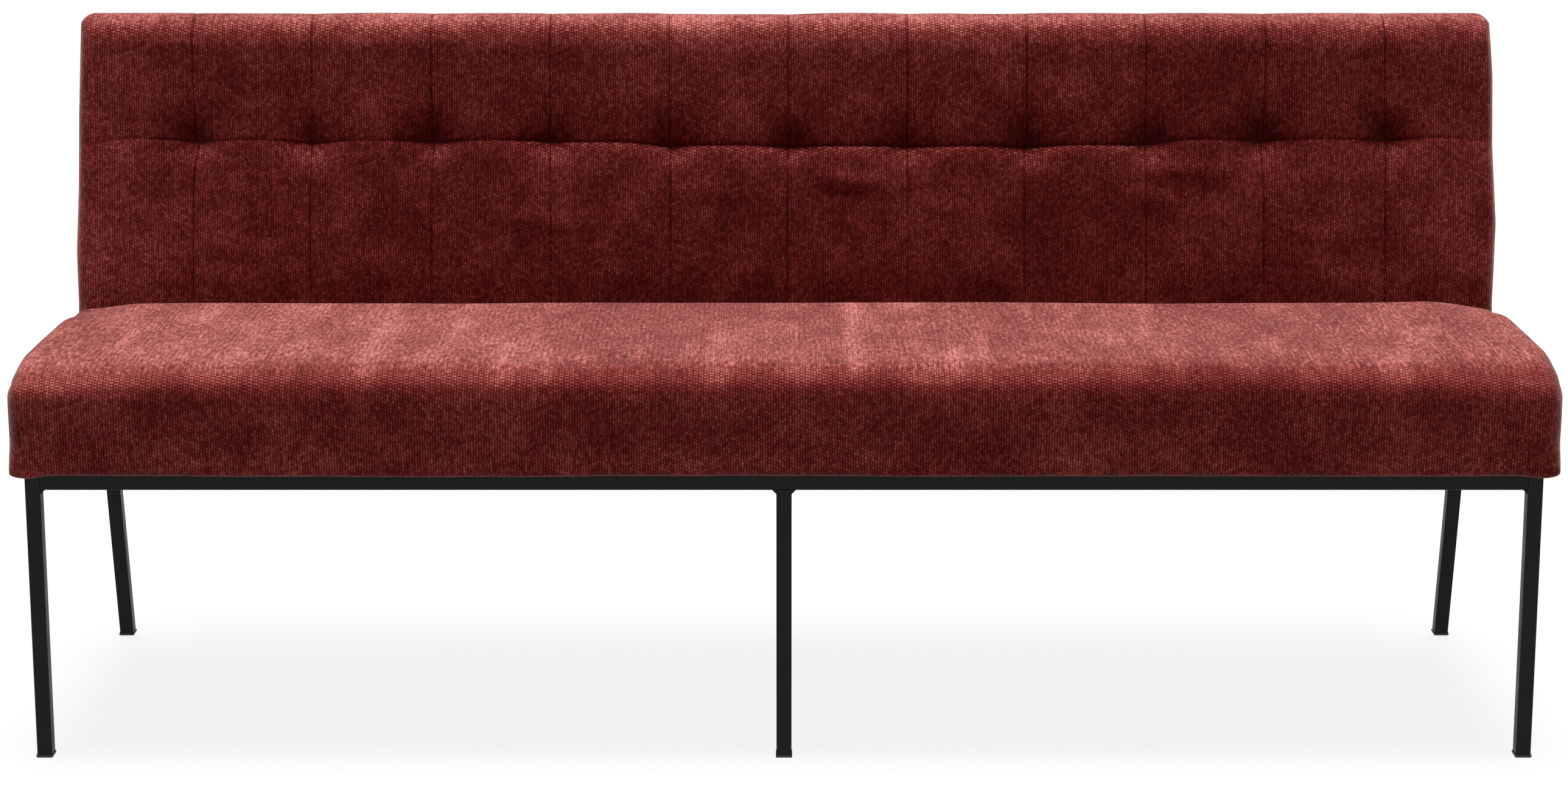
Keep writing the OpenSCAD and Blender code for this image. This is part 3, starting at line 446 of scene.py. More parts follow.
def back_tone_and_painted_light(x, v, normals, is_front, rear_row):
    """How much paler or darker the backrest is: painted shade in the seams and over the tufts, and painted
    highlights under the tufts, over the creases and along the crest."""
    gap = nearest_seam(x)[1]
    rise = v - SEAM_V
    ahead = np.arange(x.shape[1])[None] < rear_row
    # Painted shade of the vertical seams' grooves
    seam_shade = SEAM_SHADE * (0.75 + lumps(x, v, FAINT_LUMPS)) * bell(gap, SEAM_SHADE_W) * ahead
    # Painted shade of the cross seam and its fold, painted shadow over the tufts, and painted highlight on
    # the lips below them
    depth = np.interp(x, PANEL_MIDDLES, CROSS_DEPTH) / max(CROSS_DEPTH)
    line = CROSS_SHADE + CROSS_SHADE_DEEP * depth + CROSS_SHADE_TUFT * bell(gap, CROSS_SHADE_TUFT_W)
    cross = is_front * line * bell(rise, CROSS_SHADE_W)
    fold_shade = is_front * FOLD_SHADE * depth * bell(rise, FOLD_SHADE_W)
    above = bell(np.clip(rise - HOLLOW_FULL, 0, None), HOLLOW_ABOVE)
    along = np.where(rise > 0, above, bell(rise, HOLLOW_BELOW))
    hollow_shadow = is_front * HOLLOW_SHADOW * bell(gap, HOLLOW_SHADOW_W) * along
    lip_highlight = is_front * LIP_HIGHLIGHT * bell(gap - LIP_RIGHT, LIP_W) * bell(rise + LIP_BELOW, LIP_H)
    # The crest's painted highlight, and the broad differences from side to side
    up = np.clip(normals[None, :, 0] * LEAN_COS - normals[None, :, 1] * LEAN_SIN, 0, 1)
    crest = smooth((v - (BACK_V_TOP - BACK_TOP_R - CREST_START)) / CREST_START) * ahead
    on_front_edge = 1 - smooth((up - 0.3) / 0.35)
    in_middle = CREST_MIDDLE_HIGHLIGHT * bell(x, CREST_MIDDLE_W, 4)
    crest_light = crest * (CREST_HIGHLIGHT * on_front_edge + in_middle + CREST_BASE_LIGHT)
    to_right = np.where(rise > 0, grown(x, *UPPER_RIGHT_TONE), grown(x, *LOWER_RIGHT_TONE))
    aside = is_front * to_right - grown(np.abs(x), *ENDS_TONE)
    # Painted highlight just above each crease and painted shade just below it
    crease_light_and_shade = 0
    for line, height, fade in creases(x, rise):
        lit_then_dark = band(line, *CREASE_HIGHLIGHT) - band(line, *CREASE_SHADE)
        crease_light_and_shade = crease_light_and_shade + is_front * height * lit_then_dark * fade
    return crest_light + lip_highlight + crease_light_and_shade - np.maximum(seam_shade, cross) - fold_shade - hollow_shadow - aside * (1 - crest)


def backrest_section():
    """The loop round the slab, in v and t: up the front face, over the crest, down the rear and along the
    foot, and the number of its rows on the front face."""
    v_arc = BACK_V_TOP - BACK_TOP_R
    near = sorted({SEAM_V - s for s in SEAM_LINES} | {SEAM_V + s for s in SEAM_LINES})
    low = spread(0, near[0], BACK_ROW_STEP)
    high = [v for v in spread(near[-1] + BACK_ROW_STEP, v_arc, BACK_ROW_STEP) if v < v_arc - 2]
    section = Section()
    for v in low + near + high:
        section.points.append([v, 0])
        section.normals.append([0, -1])
    front_rows = len(section.points)
    section.arc((v_arc, BACK_TOP_R), BACK_TOP_R, 270, 360, CREST_ROWS)
    section.line((BACK_V_TOP, BACK_TOP_R), (BACK_V_TOP, BACK_T - BACK_REAR_R), TOP_ROWS)
    section.arc((BACK_V_TOP - BACK_REAR_R, BACK_T - BACK_REAR_R), BACK_REAR_R, 0, 90, REAR_ARC_ROWS)
    rear_foot = (LEAN_TAN * BACK_T, BACK_T)
    section.line((BACK_V_TOP - BACK_REAR_R, BACK_T), rear_foot, REAR_ROWS)
    section.line(rear_foot, (0, 0), FOOT_ROWS)
    return section.done(), front_rows


def backrest_columns(side_x):
    """The x of each column of the backrest's mesh, close together at the vertical seams."""
    xs = [a + SEAM_PITCH / 2 for a in SEAM_XS[:-1]]
    for x in SEAM_XS:
        xs += [x - s for s in SEAM_LINES] + [x + s for s in SEAM_LINES[1:]]
    xs = sorted(set(round(x, 3) for x in xs))
    left, right = spread(-side_x, xs[0], BACK_COLUMN_STEP), spread(side_x, xs[-1], BACK_COLUMN_STEP)
    return np.array(left + xs + right[::-1])


def build_backrest():
    section, front_rows = backrest_section()
    side_x = HALF_W - BACK_END_R
    xs = backrest_columns(side_x)
    rows = len(section.points)
    rear_row = rows - FOOT_ROWS - REAR_ROWS
    is_front = np.arange(rows)[None] < front_rows
    x = np.repeat(xs[:, None], rows, 1)
    v = np.repeat(section.points[None, :, 0], len(xs), 0)
    s = np.repeat(section.s[None, :-1] - section.s[front_rows], len(xs), 0)
    fall = np.where(is_front, back_fall(x, v), crest_fall(x, s))
    fall[:, rear_row:] = 0
    points = np.repeat(section.points[None], len(xs), 0) - section.normals[None] * fall[..., None]
    # The foot is level, from the rear to where the front face is pressed in
    foot_t = BACK_T + (PRESS_D - BACK_T) * np.arange(FOOT_ROWS) / FOOT_ROWS
    points[:, -FOOT_ROWS:, 1] = foot_t
    points[:, -FOOT_ROWS:, 0] = foot_t * LEAN_TAN
    points[:, 0, 0] = PRESS_D * LEAN_TAN
    # The cross seam hangs, and the vertical seams bend towards the tufts and stand aside below it
    points[..., 0] += np.where(is_front, seam_wave(x) * bell(v - SEAM_V, WAVE_H), 0)
    bend = near_seams(x, BEND_W, TUFT_BEND) * bell(v - SEAM_V, BEND_H)
    wander = lumps(np.round(x / SEAM_PITCH), v, SEAM_WANDER)
    lower = near_seams(x, SHIFT_W, LOWER_SHIFT) * smooth((SEAM_V - v) / SHIFT_H)
    bent_x = x + np.where(is_front, bend + wander + lower, 0)
    bent_x[[0, -1]] = x[[0, -1]]
    # The end panels stand out as their outlines say
    height = slab_yz(points[..., 0], points[..., 1])[1]
    left, right = (np.interp(height, *zip(*outline)) for outline in (LEFT_OUTLINE, RIGHT_OUTLINE))
    reach = smooth((np.abs(bent_x) - (side_x - OUTLINE_W)) / OUTLINE_W)
    bent_x = bent_x + reach * np.where(bent_x < 0, -left, right)
    inner, middle = points.copy(), points.copy()
    inner[..., 0] = np.clip(points[..., 0], BACK_END_R, BACK_V_TOP - BACK_END_R)
    inner[..., 1] = np.clip(points[..., 1], PRESS_D + BACK_END_R, BACK_T - BACK_END_R)
    middle[..., 0] = np.clip(points[..., 0], BACK_PANEL_CORE, BACK_V_TOP - BACK_PANEL_CORE)
    middle[..., 1] = (PRESS_D + BACK_T) / 2
    tone_and_painted_light = back_tone_and_painted_light(x, v, section.normals, is_front, rear_row)
    return add_form("backrest_cushion", bent_x, points, inner, middle, section.s, tone_and_painted_light, BACK_END_R,
                    BACK_PANEL_BULGE, BACK_PANEL_SINK, slab_yz)


# Seat

# Roundings of the section, and the small cut at its lower rear corner
FRONT_R, FRONT_LOW_R, REAR_R, REAR_LOW_CUT = 42, 12, 14, 3
# At its ends the seat is rounded by this much sideways, and by less above and below
SEAT_END_R, SEAT_END_TOP_R, SEAT_END_LOW_R = 26, 12, 7
# The front face swells by this much in the middle of its height
FRONT_SWELL = 1.5
SEAT_Y0 = SEAT_LOW[1] + FRONT_SWELL
SEAT_Z0, SEAT_Z1 = DUST_HIGH[2], SEAT_H
# The rear face lies just in front of the backrest's pressed face
REAR_T = PRESS_D - 0.5
REAR_LOW, REAR_TOP = (slab_yz(slab_v(z, REAR_T), REAR_T)[0] for z in (SEAT_Z0, SEAT_Z1))
# How far the left and right ends stand out past the half width and over what length, and how much lower than
# the middle their top is
SEAT_OUT, SEAT_OUT_W = (-3, 5.5), 60
SEAT_DROP = (2, -3)
# The rounding of the ends grows from behind to the front, and from the lower edge upwards: start and length
ROUND_FRONT, ROUND_FRONT_W = 130, 110
ROUND_LOW, ROUND_LOW_W = 8, 40
# How far the top falls towards the rear corners, the front and the front corners, over what width from the
# ends or the front, and from which y on and over what length the rear corners' fall grows
REAR_CORNER_FALL, REAR_CORNER_W, REAR_CORNER_Y = 11, 75, (20, 110)
FRONT_FALL, FRONT_FALL_W = 6, 130
FRONT_CORNER_FALL, END_FALL_W = 11, 240
# Lumps of the top and the front, as lumps() takes them, and short puckers over the hem: height, width, seed
TOP_LUMPS = [(1.4, 260, 3), (0.7, 90, 4)]
FRONT_LUMPS = [(0.9, 120, 6), (0.5, 45, 7)]
PUCKERS = [(0.55, 17, 8)]
# The lower front edge hangs down by this much, unevenly, and further at the left and right corners. The edge
# is what lies this near to the front and the underside.
HANG = 1.2
HANG_LUMPS = [(1.8, 170, 9), (0.6, 60, 10)]
HANG_CORNER, HANG_CORNER_W = (8.5, 6), 26
HANG_Y, HANG_Z = 15, 30
# End panels: how far they stand out, how deep their seam lies, and how near the section's ends they close
SEAT_PANEL_BULGE, SEAT_PANEL_SINK, SEAT_PANEL_CORE = 2, 0, 60
SEAT_COLUMN_STEP = 8
# Painted shade over the rounded front edge and its fade behind it, how much darker the top is to the right,
# and how much paler the cloth is on the front and in a band over its hem
EDGE_SHADE, EDGE_BEHIND, EDGE_FADE = 0.13, 34, 58
TOP_RIGHT_TONE = (0.045, -420, 200)
FRONT_TONE, HEM_TONE = 0.02, (0.05, 18, 14)
# Paler strokes across the seat from front to rear: x of the sharper edge, width, strength, and that edge's
# width
STROKES = [(-548, 26, 0.17), (-650, 16, 0.08), (88, 24, 0.16)]
STROKE_EDGE_W = 7


def seat_section():
    """The loop round the seat, in y and z: along the bottom to the front, up, back over the top and down."""
    section = Section()
    section.line((REAR_LOW - REAR_LOW_CUT, SEAT_Z0), (SEAT_Y0 + FRONT_LOW_R, SEAT_Z0), 24)
    section.arc((SEAT_Y0 + FRONT_LOW_R, SEAT_Z0 + FRONT_LOW_R), FRONT_LOW_R, 270, 180, 8)
    section.line((SEAT_Y0, SEAT_Z0 + FRONT_LOW_R), (SEAT_Y0, SEAT_Z1 - FRONT_R), 16)
    section.arc((SEAT_Y0 + FRONT_R, SEAT_Z1 - FRONT_R), FRONT_R, 180, 90, 16)
    section.line((SEAT_Y0 + FRONT_R, SEAT_Z1), (REAR_TOP - REAR_R, SEAT_Z1), 50)
    section.arc((REAR_TOP - REAR_R, SEAT_Z1 - REAR_R), REAR_R, 90, 10, 8)
    section.line((REAR_TOP, SEAT_Z1 - REAR_R), (REAR_LOW, SEAT_Z0 + REAR_LOW_CUT), 14)
    section.done()
    # The lines run clockwise, so their normals point inwards until they are turned round here
    inwards = ((section.points - section.points.mean(0)) * section.normals).sum(1) < 0
    section.normals[inwards] *= -1
    return section


def top_fall(x, y, side_x):
    """How far the top lies below the seat's height: it is crowned, with soft hollows where people sit."""
    from_side = side_x - np.abs(x)
    near_end = np.clip(1 - from_side / END_FALL_W, 0, 1) ** 2
    near_rear = np.clip(1 - from_side / REAR_CORNER_W, 0, 1) ** 2 * grown(y, 1, *REAR_CORNER_Y)
    near_front = np.clip(1 - (y - SEAT_Y0) / FRONT_FALL_W, 0, 1) ** 2
    crown = np.where(x < 0, *SEAT_DROP) * near_end
    crown = crown + REAR_CORNER_FALL * near_rear + FRONT_FALL * near_front
    return crown + FRONT_CORNER_FALL * near_end * near_front - lumps(x, y, TOP_LUMPS)


def front_swell(x, z, share):
    """How far the front stands out, where share runs from 0 at its foot to 1: a swell, lumps and puckers."""
    swell = FRONT_SWELL * np.sin(np.pi * share) + lumps(x, z, FRONT_LUMPS)
    return swell + bell(share, 0.16) * lumps(x, z * 0.2, PUCKERS)


def edge_hang(x, y, z, side_x):
    """How far the rolled lower front edge is moved upwards."""
    roll = np.clip(1 - (y - SEAT_Y0) / HANG_Y, 0, 1) * np.clip(1 - (z - SEAT_Z0) / HANG_Z, 0, 1)
    corner = np.where(x < 0, *HANG_CORNER) * smooth((np.abs(x) - (side_x - HANG_CORNER_W)) / HANG_CORNER_W)
    return roll * (lumps(x, x * 0, HANG_LUMPS) - HANG - corner)


def seat_tone_and_painted_light(x, y, z, up, out):
    """How much paler or darker the seat is: painted shade over the rounded front edge, paler strokes of nap
    on the top, and paler or darker stretches on the front, the hem and the right of the top.
    """
    # Painted shade over the rounded front edge, where the top's light falls off
    before_edge = smooth((SEAT_Y0 + FRONT_R + EDGE_BEHIND - y) / EDGE_FADE)
    edge = EDGE_SHADE * smooth(up / 0.25) * before_edge * (1 - 0.35 * smooth((0.8 - up) / 0.35))
    tone = out * (FRONT_TONE + band(z - SEAT_Z0, *HEM_TONE)) - edge - up * grown(x, *TOP_RIGHT_TONE)
    for at, width, strength in STROKES:
        stroke = bell(x - at, np.where(x < at, STROKE_EDGE_W, width))
        tone = tone + strength * smooth((up - 0.5) / 0.4) * stroke
    return tone


def build_seat():
    section = seat_section()
    side_x = HALF_W - SEAT_END_R
    xs = np.array(spread(-side_x, side_x, SEAT_COLUMN_STEP) + [side_x])
    x = np.repeat(xs[:, None], len(section.points), 1)
    y, z = (np.repeat(section.points[None, :, i], len(xs), 0) for i in (0, 1))
    normals = section.normals[None]
    up = np.clip(normals[..., 1], 0, 1) ** 1.2
    out = np.clip(-normals[..., 0], 0, 1) ** 1.2
    fall = top_fall(x, y, side_x)
    share = np.clip((z - SEAT_Z0) / (SEAT_Z1 - SEAT_Z0), 0, 1)
    push = out * front_swell(x, z, share) - up * fall
    points = np.repeat(section.points[None], len(xs), 0) + normals * push[..., None]
    points[..., 1] += edge_hang(x, y, z, side_x)
    out_x = np.where(x < 0, *SEAT_OUT) * smooth((np.abs(x) - side_x + SEAT_OUT_W) / SEAT_OUT_W)
    moved_x = x + out_x * np.sin(np.pi * (0.2 + 0.5 * share))
    # The ends are rounded most at the front corner, and less above, behind and below
    forward = smooth((SEAT_Y0 + ROUND_FRONT - y) / ROUND_FRONT_W)
    upward = smooth((z - SEAT_Z0 - ROUND_LOW) / ROUND_LOW_W)
    radius = SEAT_END_TOP_R + (SEAT_END_R - SEAT_END_TOP_R) * forward
    radius = SEAT_END_LOW_R + (radius - SEAT_END_LOW_R) * upward
    inner, middle = points - normals * radius[..., None], points.copy()
    # Behind, the corners are tighter than the rounding, so there the smaller loop is kept from folding over
    inner_z = np.clip(points[..., 1], SEAT_Z0 + radius, SEAT_Z1 - fall - radius)
    rear_y = np.interp(inner_z, [SEAT_Z0 + REAR_LOW_CUT, SEAT_Z1 - REAR_R], [REAR_LOW, REAR_TOP])
    clipped = np.stack([np.minimum(points[..., 0], rear_y - radius), inner_z], axis=2)
    inner = np.where((y > (SEAT_Y0 + REAR_LOW) / 2)[..., None], clipped, inner)
    middle[..., 0] = np.clip(points[..., 0], SEAT_Y0 + SEAT_PANEL_CORE, REAR_LOW - SEAT_PANEL_CORE)
    middle[..., 1] = (SEAT_Z0 + SEAT_Z1) / 2
    tone_and_painted_light = seat_tone_and_painted_light(moved_x, y, z, up, out)
    return add_form("seat_cushion", moved_x, points, inner, middle, section.s, tone_and_painted_light, SEAT_END_R,
                    SEAT_PANEL_BULGE, SEAT_PANEL_SINK, lambda *yz: yz)


# Rear panel and dust cloth

# Panel: the t of its rear plane, its gap to the crest, the radius of its edges, the lines of its mesh near
# an edge and elsewhere, how far its face lies within its plane, and its pillow, lumps and puckers, with the
# width from the edges over which each grows, or where it is
PANEL_T = 100
PANEL_GAP = 0.2
PANEL_R = 3
PANEL_EDGE_LINES = [0, 0.5, 1.5, PANEL_R]
PANEL_EDGE_W, PANEL_STEP = 9, 14
PANEL_INSET = 0.6
PANEL_PILLOW, PANEL_LUMPS, PANEL_PUCKERS = 1.6, [(0.35, 120, 21)], [(0.3, 14, 22)]
RISE_W, LUMPS_W, PUCKERS_AT = 60, 30, (5, 8)


def panel_lines(low, high):
    """Places of the panel's mesh lines from one edge to the other."""
    between = spread(low + PANEL_EDGE_W, high - PANEL_EDGE_W, PANEL_STEP)[1:]
    return [low + d for d in PANEL_EDGE_LINES] + between + [high - d for d in PANEL_EDGE_LINES[::-1]]


def build_outside_back():
    """A cloth-covered board with softly rounded edges, in the plane behind the backrest."""
    half = PANEL_HIGH[0]
    low_v = slab_v(PANEL_LOW[2], PANEL_T)
    high_v = slab_v(PANEL_HIGH[2], BACK_T) - PANEL_GAP
    gx, gv = np.meshgrid(panel_lines(-half, half), panel_lines(low_v, high_v), indexing="ij")
    edge = np.minimum(np.minimum(half - np.abs(gx), gv - low_v), high_v - gv)
    rounding = PANEL_R - np.sqrt(np.clip(PANEL_R ** 2 - (PANEL_R - edge) ** 2, 0, None))
    pillow = PANEL_PILLOW * smooth(edge / RISE_W) + lumps(gx, gv, PANEL_LUMPS) * smooth(edge / LUMPS_W)
    puckers = lumps(gx + gv, gx - gv, PANEL_PUCKERS) * band(edge, 1, *PUCKERS_AT)
    t = PANEL_T - PANEL_INSET - np.where(edge < PANEL_R, rounding, 0) + pillow + puckers
    face = np.stack([gx, *slab_yz(gv, t)], 2)
    inside = np.stack([gx, *slab_yz(gv, np.full_like(gv, BACK_T))], 2)
    return add_layers("outside_back_panel", gx, gv, face, inside)


# Dust cloth: steps of its mesh, its thickness, the width of the rails that hold it, how far above the CAD
# solid's underside it is stapled, its sag and lumps in each bay, and over what widths both begin there
DUST_STEPS = (18, 12)
DUST_THICK = 0.4
DUST_RAIL_W = 22
DUST_STAPLED = 0.3
DUST_SAG, DUST_LUMPS = 2.6, [(0.8, 90, 31)]
DUST_SAG_W, DUST_FREE_W = 120, 20


def build_dust_cloth():
    """Thin black cloth under the seat. It sags a little between the rails."""
    half, front, rear = DUST_HIGH[0], DUST_LOW[1], DUST_HIGH[1]
    xs = spread(-half, half, DUST_STEPS[0]) + [half]
    ys = spread(front, rear, DUST_STEPS[1]) + [rear]
    gx, gy = np.meshgrid(xs, ys, indexing="ij")
    across = np.minimum(half - DUST_RAIL_W - np.abs(gx), np.abs(gx) - DUST_RAIL_W)
    bay = np.minimum(across, np.minimum(gy - front - DUST_RAIL_W, rear - gy))
    sag = smooth(bay / DUST_SAG_W) * (DUST_SAG + lumps(gx, gy, DUST_LUMPS))
    sag = sag + smooth(bay / DUST_FREE_W) * DUST_STAPLED
    lower = np.stack([gx, gy, DUST_LOW[2] + DUST_STAPLED - sag], 2)
    cloth = add_layers("dust_cloth", gx, gy, lower, lower + (0, 0, DUST_THICK))
    return cloth, (2 * half * MM, (rear - front) * MM)


# Materials


class Nodes:
    """Short names for the nodes of a material or a world, whose node tree starts empty."""

    def __init__(self, owner):
        owner.use_nodes = True
        self.owner = owner
        self.tree = owner.node_tree
        self.tree.nodes.clear()

    def put(self, socket, value):
        if isinstance(value, bpy.types.NodeSocket):
            self.tree.links.new(value, socket)
        else:
            socket.default_value = value

    def new(self, kind, *values, **settings):
        """A node with these settings, and with these values or links for its first inputs."""
        node = self.tree.nodes.new("ShaderNode" + kind)
        for key, value in settings.items():
            setattr(node, key, value)
        for socket, value in zip(node.inputs, values):
            self.put(socket, value)
        return node

    def named(self, kind, **values):
        """A node with values or links for its inputs by name, where _ stands for a space."""
        node = self.new(kind)
        for key, value in values.items():
            self.put(node.inputs[key.replace("_", " ")], value)
        return node

    def math(self, operation, *values, clamp=False):
        return self.new("Math", *values, operation=operation, use_clamp=clamp).outputs[0]

    def plus(self, a, b):
        return self.math("ADD", a, b)

    def times(self, a, b):
        return self.math("MULTIPLY", a, b)

    def times_plus(self, a, b, c):
        """a times b, plus c."""
        return self.math("MULTIPLY_ADD", a, b, c)

    def range(self, value, low, high, to_low=0, to_high=1, soft=False):
        """The value carried over from one range to another and held within it."""
        kind = "SMOOTHSTEP" if soft else "LINEAR"
        return self.new("MapRange", value, low, high, to_low, to_high, interpolation_type=kind).outputs[0]

    def noise(self, vector, scale, detail=2, rough=0.5, output="Fac"):
        node = self.named("TexNoise", Vector=vector, Scale=scale, Detail=detail, Roughness=rough)
        return node.outputs[output]

    def warp(self, vector, scale, amount):
        """The vector moved about by noise, by up to about half the amount."""
        colour = self.noise(vector, scale, detail=1, output="Color")
        shift = self.new("VectorMath", colour, (0.5, 0.5, 0.5), operation="SUBTRACT").outputs[0]
        by = (amount, amount, amount)
        return self.new("VectorMath", shift, by, vector, operation="MULTIPLY_ADD").outputs[0]

    def mix(self, factor, a, b):
        node = self.new("Mix", factor, data_type="RGBA")
        self.put(node.inputs[6], a)
        self.put(node.inputs[7], b)
        return node.outputs[2]

    def xyz(self, vector):
        return self.new("SeparateXYZ", vector).outputs

    def vector(self, x, y, z):
        return self.new("CombineXYZ", x, y, z).outputs[0]

    def stretched(self, vector, sx, sy, sz):
        """The vector with each of its axes multiplied."""
        return self.vector(*[self.times(axis, by) for axis, by in zip(self.xyz(vector), (sx, sy, sz))])

    def normal(self):
        """The surface's normal, as x, y and z."""
        return self.xyz(self.new("NewGeometry").outputs["Normal"])

    def ramp(self, value, stops):
        """Colours between stops, each a value and a colour."""
        last = stops[-1][0]
        node = self.new("ValToRGB", self.math("DIVIDE", value, last))
        while len(node.color_ramp.elements) < len(stops):
            node.color_ramp.elements.new(0.5)
        for element, (at, colour) in zip(node.color_ramp.elements, stops):
            element.position = at / last
            element.color = colour
        return node.outputs[0]

    def bump(self, height, strength, distance):
        return self.named("Bump", Height=height, Strength=strength, Distance=distance).outputs[0]

    def output(self, kind, surface):
        self.put(self.new(kind).inputs["Surface"], surface)

    def surface(self, colour, roughness, normal, **fixed):
        """Finishes the material with these, and with fixed values for other inputs."""
        node = self.named("BsdfPrincipled", Base_Color=colour, Roughness=roughness, Normal=normal, **fixed)
        self.output("OutputMaterial", node.outputs[0])
        return self.owner


def rgb(r, g, b):
    """A linear colour from screen values, 0 to 255."""
    def one(c):
        c = c / 255
        return c / 12.92 if c <= 0.04045 else ((c + 0.055) / 1.055) ** 2.4
    return (one(r), one(g), one(b), 1)


def new_material(name):
    """The nodes of a new material, and the shaded point in the object's own axes."""
    n = Nodes(bpy.data.materials.new(name))
    return n, n.new("TexCoord").outputs["Object"]


# Weave of the chenille, in metres: the width of a pair of columns of knots, and the height of a knot
PAIR_W = 0.0069
KNOT_H = 0.0049

# Tones of the cloth from its gaps to its palest nap. The others are on the same scale: how much of it a knot
# takes up, the painted light that a level face adds, a knot's middle, and how much tones differ from knot to
# knot, in patches that lie another way, in broad areas, in small blots and in the fuzz.
CLOTH_TONES = [
    (0, rgb(48, 3, 2)),
    (0.25, rgb(74, 14, 12)),
    (0.5, rgb(104, 34, 31)),
    (0.75, rgb(138, 64, 60)),
    (1, rgb(190, 108, 102)),
    (1.25, rgb(224, 146, 138)),
]
KNOT_TONE = 0.6
PAINTED_TOP_LIGHT = 0.42
MIDDLE_TONE, MIDDLE_KNOT = 0.38, 0.42
EACH_TONE, PATCH_TONE, BROAD_TONE, BLOT_TONE, FUZZ_TONE = 0.08, 0.17, 0.09, 0.05, 0.1
# On the seat's level top: its grain's darkest and palest, the few dark knots that are painted shade of gaps
# between rows, and the strokes
GRAIN_TONES = (-0.36, 0.27)
KNOT_GAP_SHADE = -0.13
STROKE_TONE = 0.15


def knots(n, uv, up):
    """Height of the knots from 0 to 1, and a random value for each knot. They stand in pairs of columns."""
    wander = n.warp(n.warp(n.warp(uv, 26, 0.0022), 190, 0.0026), 480, 0.0011)
    u, v, _ = n.xyz(wander)
    # The knots of one pair of columns bulge in between those of the next pair
    beat = n.math("COSINE", n.times(v, 2 * math.pi / KNOT_H))
    bulge = n.times(beat, n.math("COSINE", n.times(u, math.pi / PAIR_W)))
    across = n.times_plus(bulge, -0.08, n.math("DIVIDE", u, PAIR_W))
    pair = n.math("FLOOR", across)
    stagger = n.times(n.math("FLOORED_MODULO", pair, 2), 0.5)
    along = n.plus(n.math("DIVIDE", v, KNOT_H), stagger)
    from_middle_u, from_middle_v = [n.math("SUBTRACT", n.math("FRACT", f), 0.5) for f in (across, along)]
    curl = n.times_plus(n.math("SINE", n.times(along, 2 * math.pi)), 0.05, from_middle_u)
    half = n.math("GREATER_THAN", from_middle_u, 0)
    white = n.new("TexWhiteNoise", n.vector(pair, n.math("FLOOR", along), half))
    # Gaps beside a pair, above a knot, and between the two columns of a pair
    beside, above = [n.math("POWER", n.times(n.math("ABSOLUTE", from_middle), 2), power)
                     for from_middle, power in ((from_middle_u, 2), (from_middle_v, 1.8))]
    notch = n.math("POWER", n.range(n.math("ABSOLUTE", curl), 0, 0.25, 1, 0), 1.5)
    # Upright cloth shows its columns, and cloth that lies more level shows the gaps between its knots, as
    # painted shade that follows how the light from above falls
    above = n.times(above, n.range(up, 0.25, 0.7, 0.4, 1, soft=True))
    above = n.times(above, n.range(up, 0.8, 1, 1, 0.6, soft=True))
    notch = n.times(notch, n.range(up, 0.25, 0.7, 0.85, 0.45, soft=True))
    gaps = n.plus(n.math("SMOOTH_MAX", beside, above, 0.35), notch)
    return n.math("SUBTRACT", 1, gaps, clamp=True), white.outputs["Value"]


def seat_grain(n, place, up, each):
    """Grain, and single dark knots as painted shade of gaps between rows, on the level top, and paler
    strokes from front to rear.
    """
    grain = n.range(n.noise(n.stretched(place, 1, 0.24, 1), 270, 3, 0.72), 0.3, 0.7, *GRAIN_TONES)
    dark = n.range(each, 0.88, 0.94, 0, KNOT_GAP_SHADE)
    x, y, _ = n.xyz(place)
    stroke = n.range(n.noise(n.vector(x, n.times(y, 0.15), 0.7), 17, 3, 0.5), 0.54, 0.7, soft=True)
    strokes = n.times(stroke, n.range(up, 0.35, 0.9, 0, STROKE_TONE))
    return n.times_plus(n.plus(grain, dark), n.range(up, 0.7, 0.95), strokes)


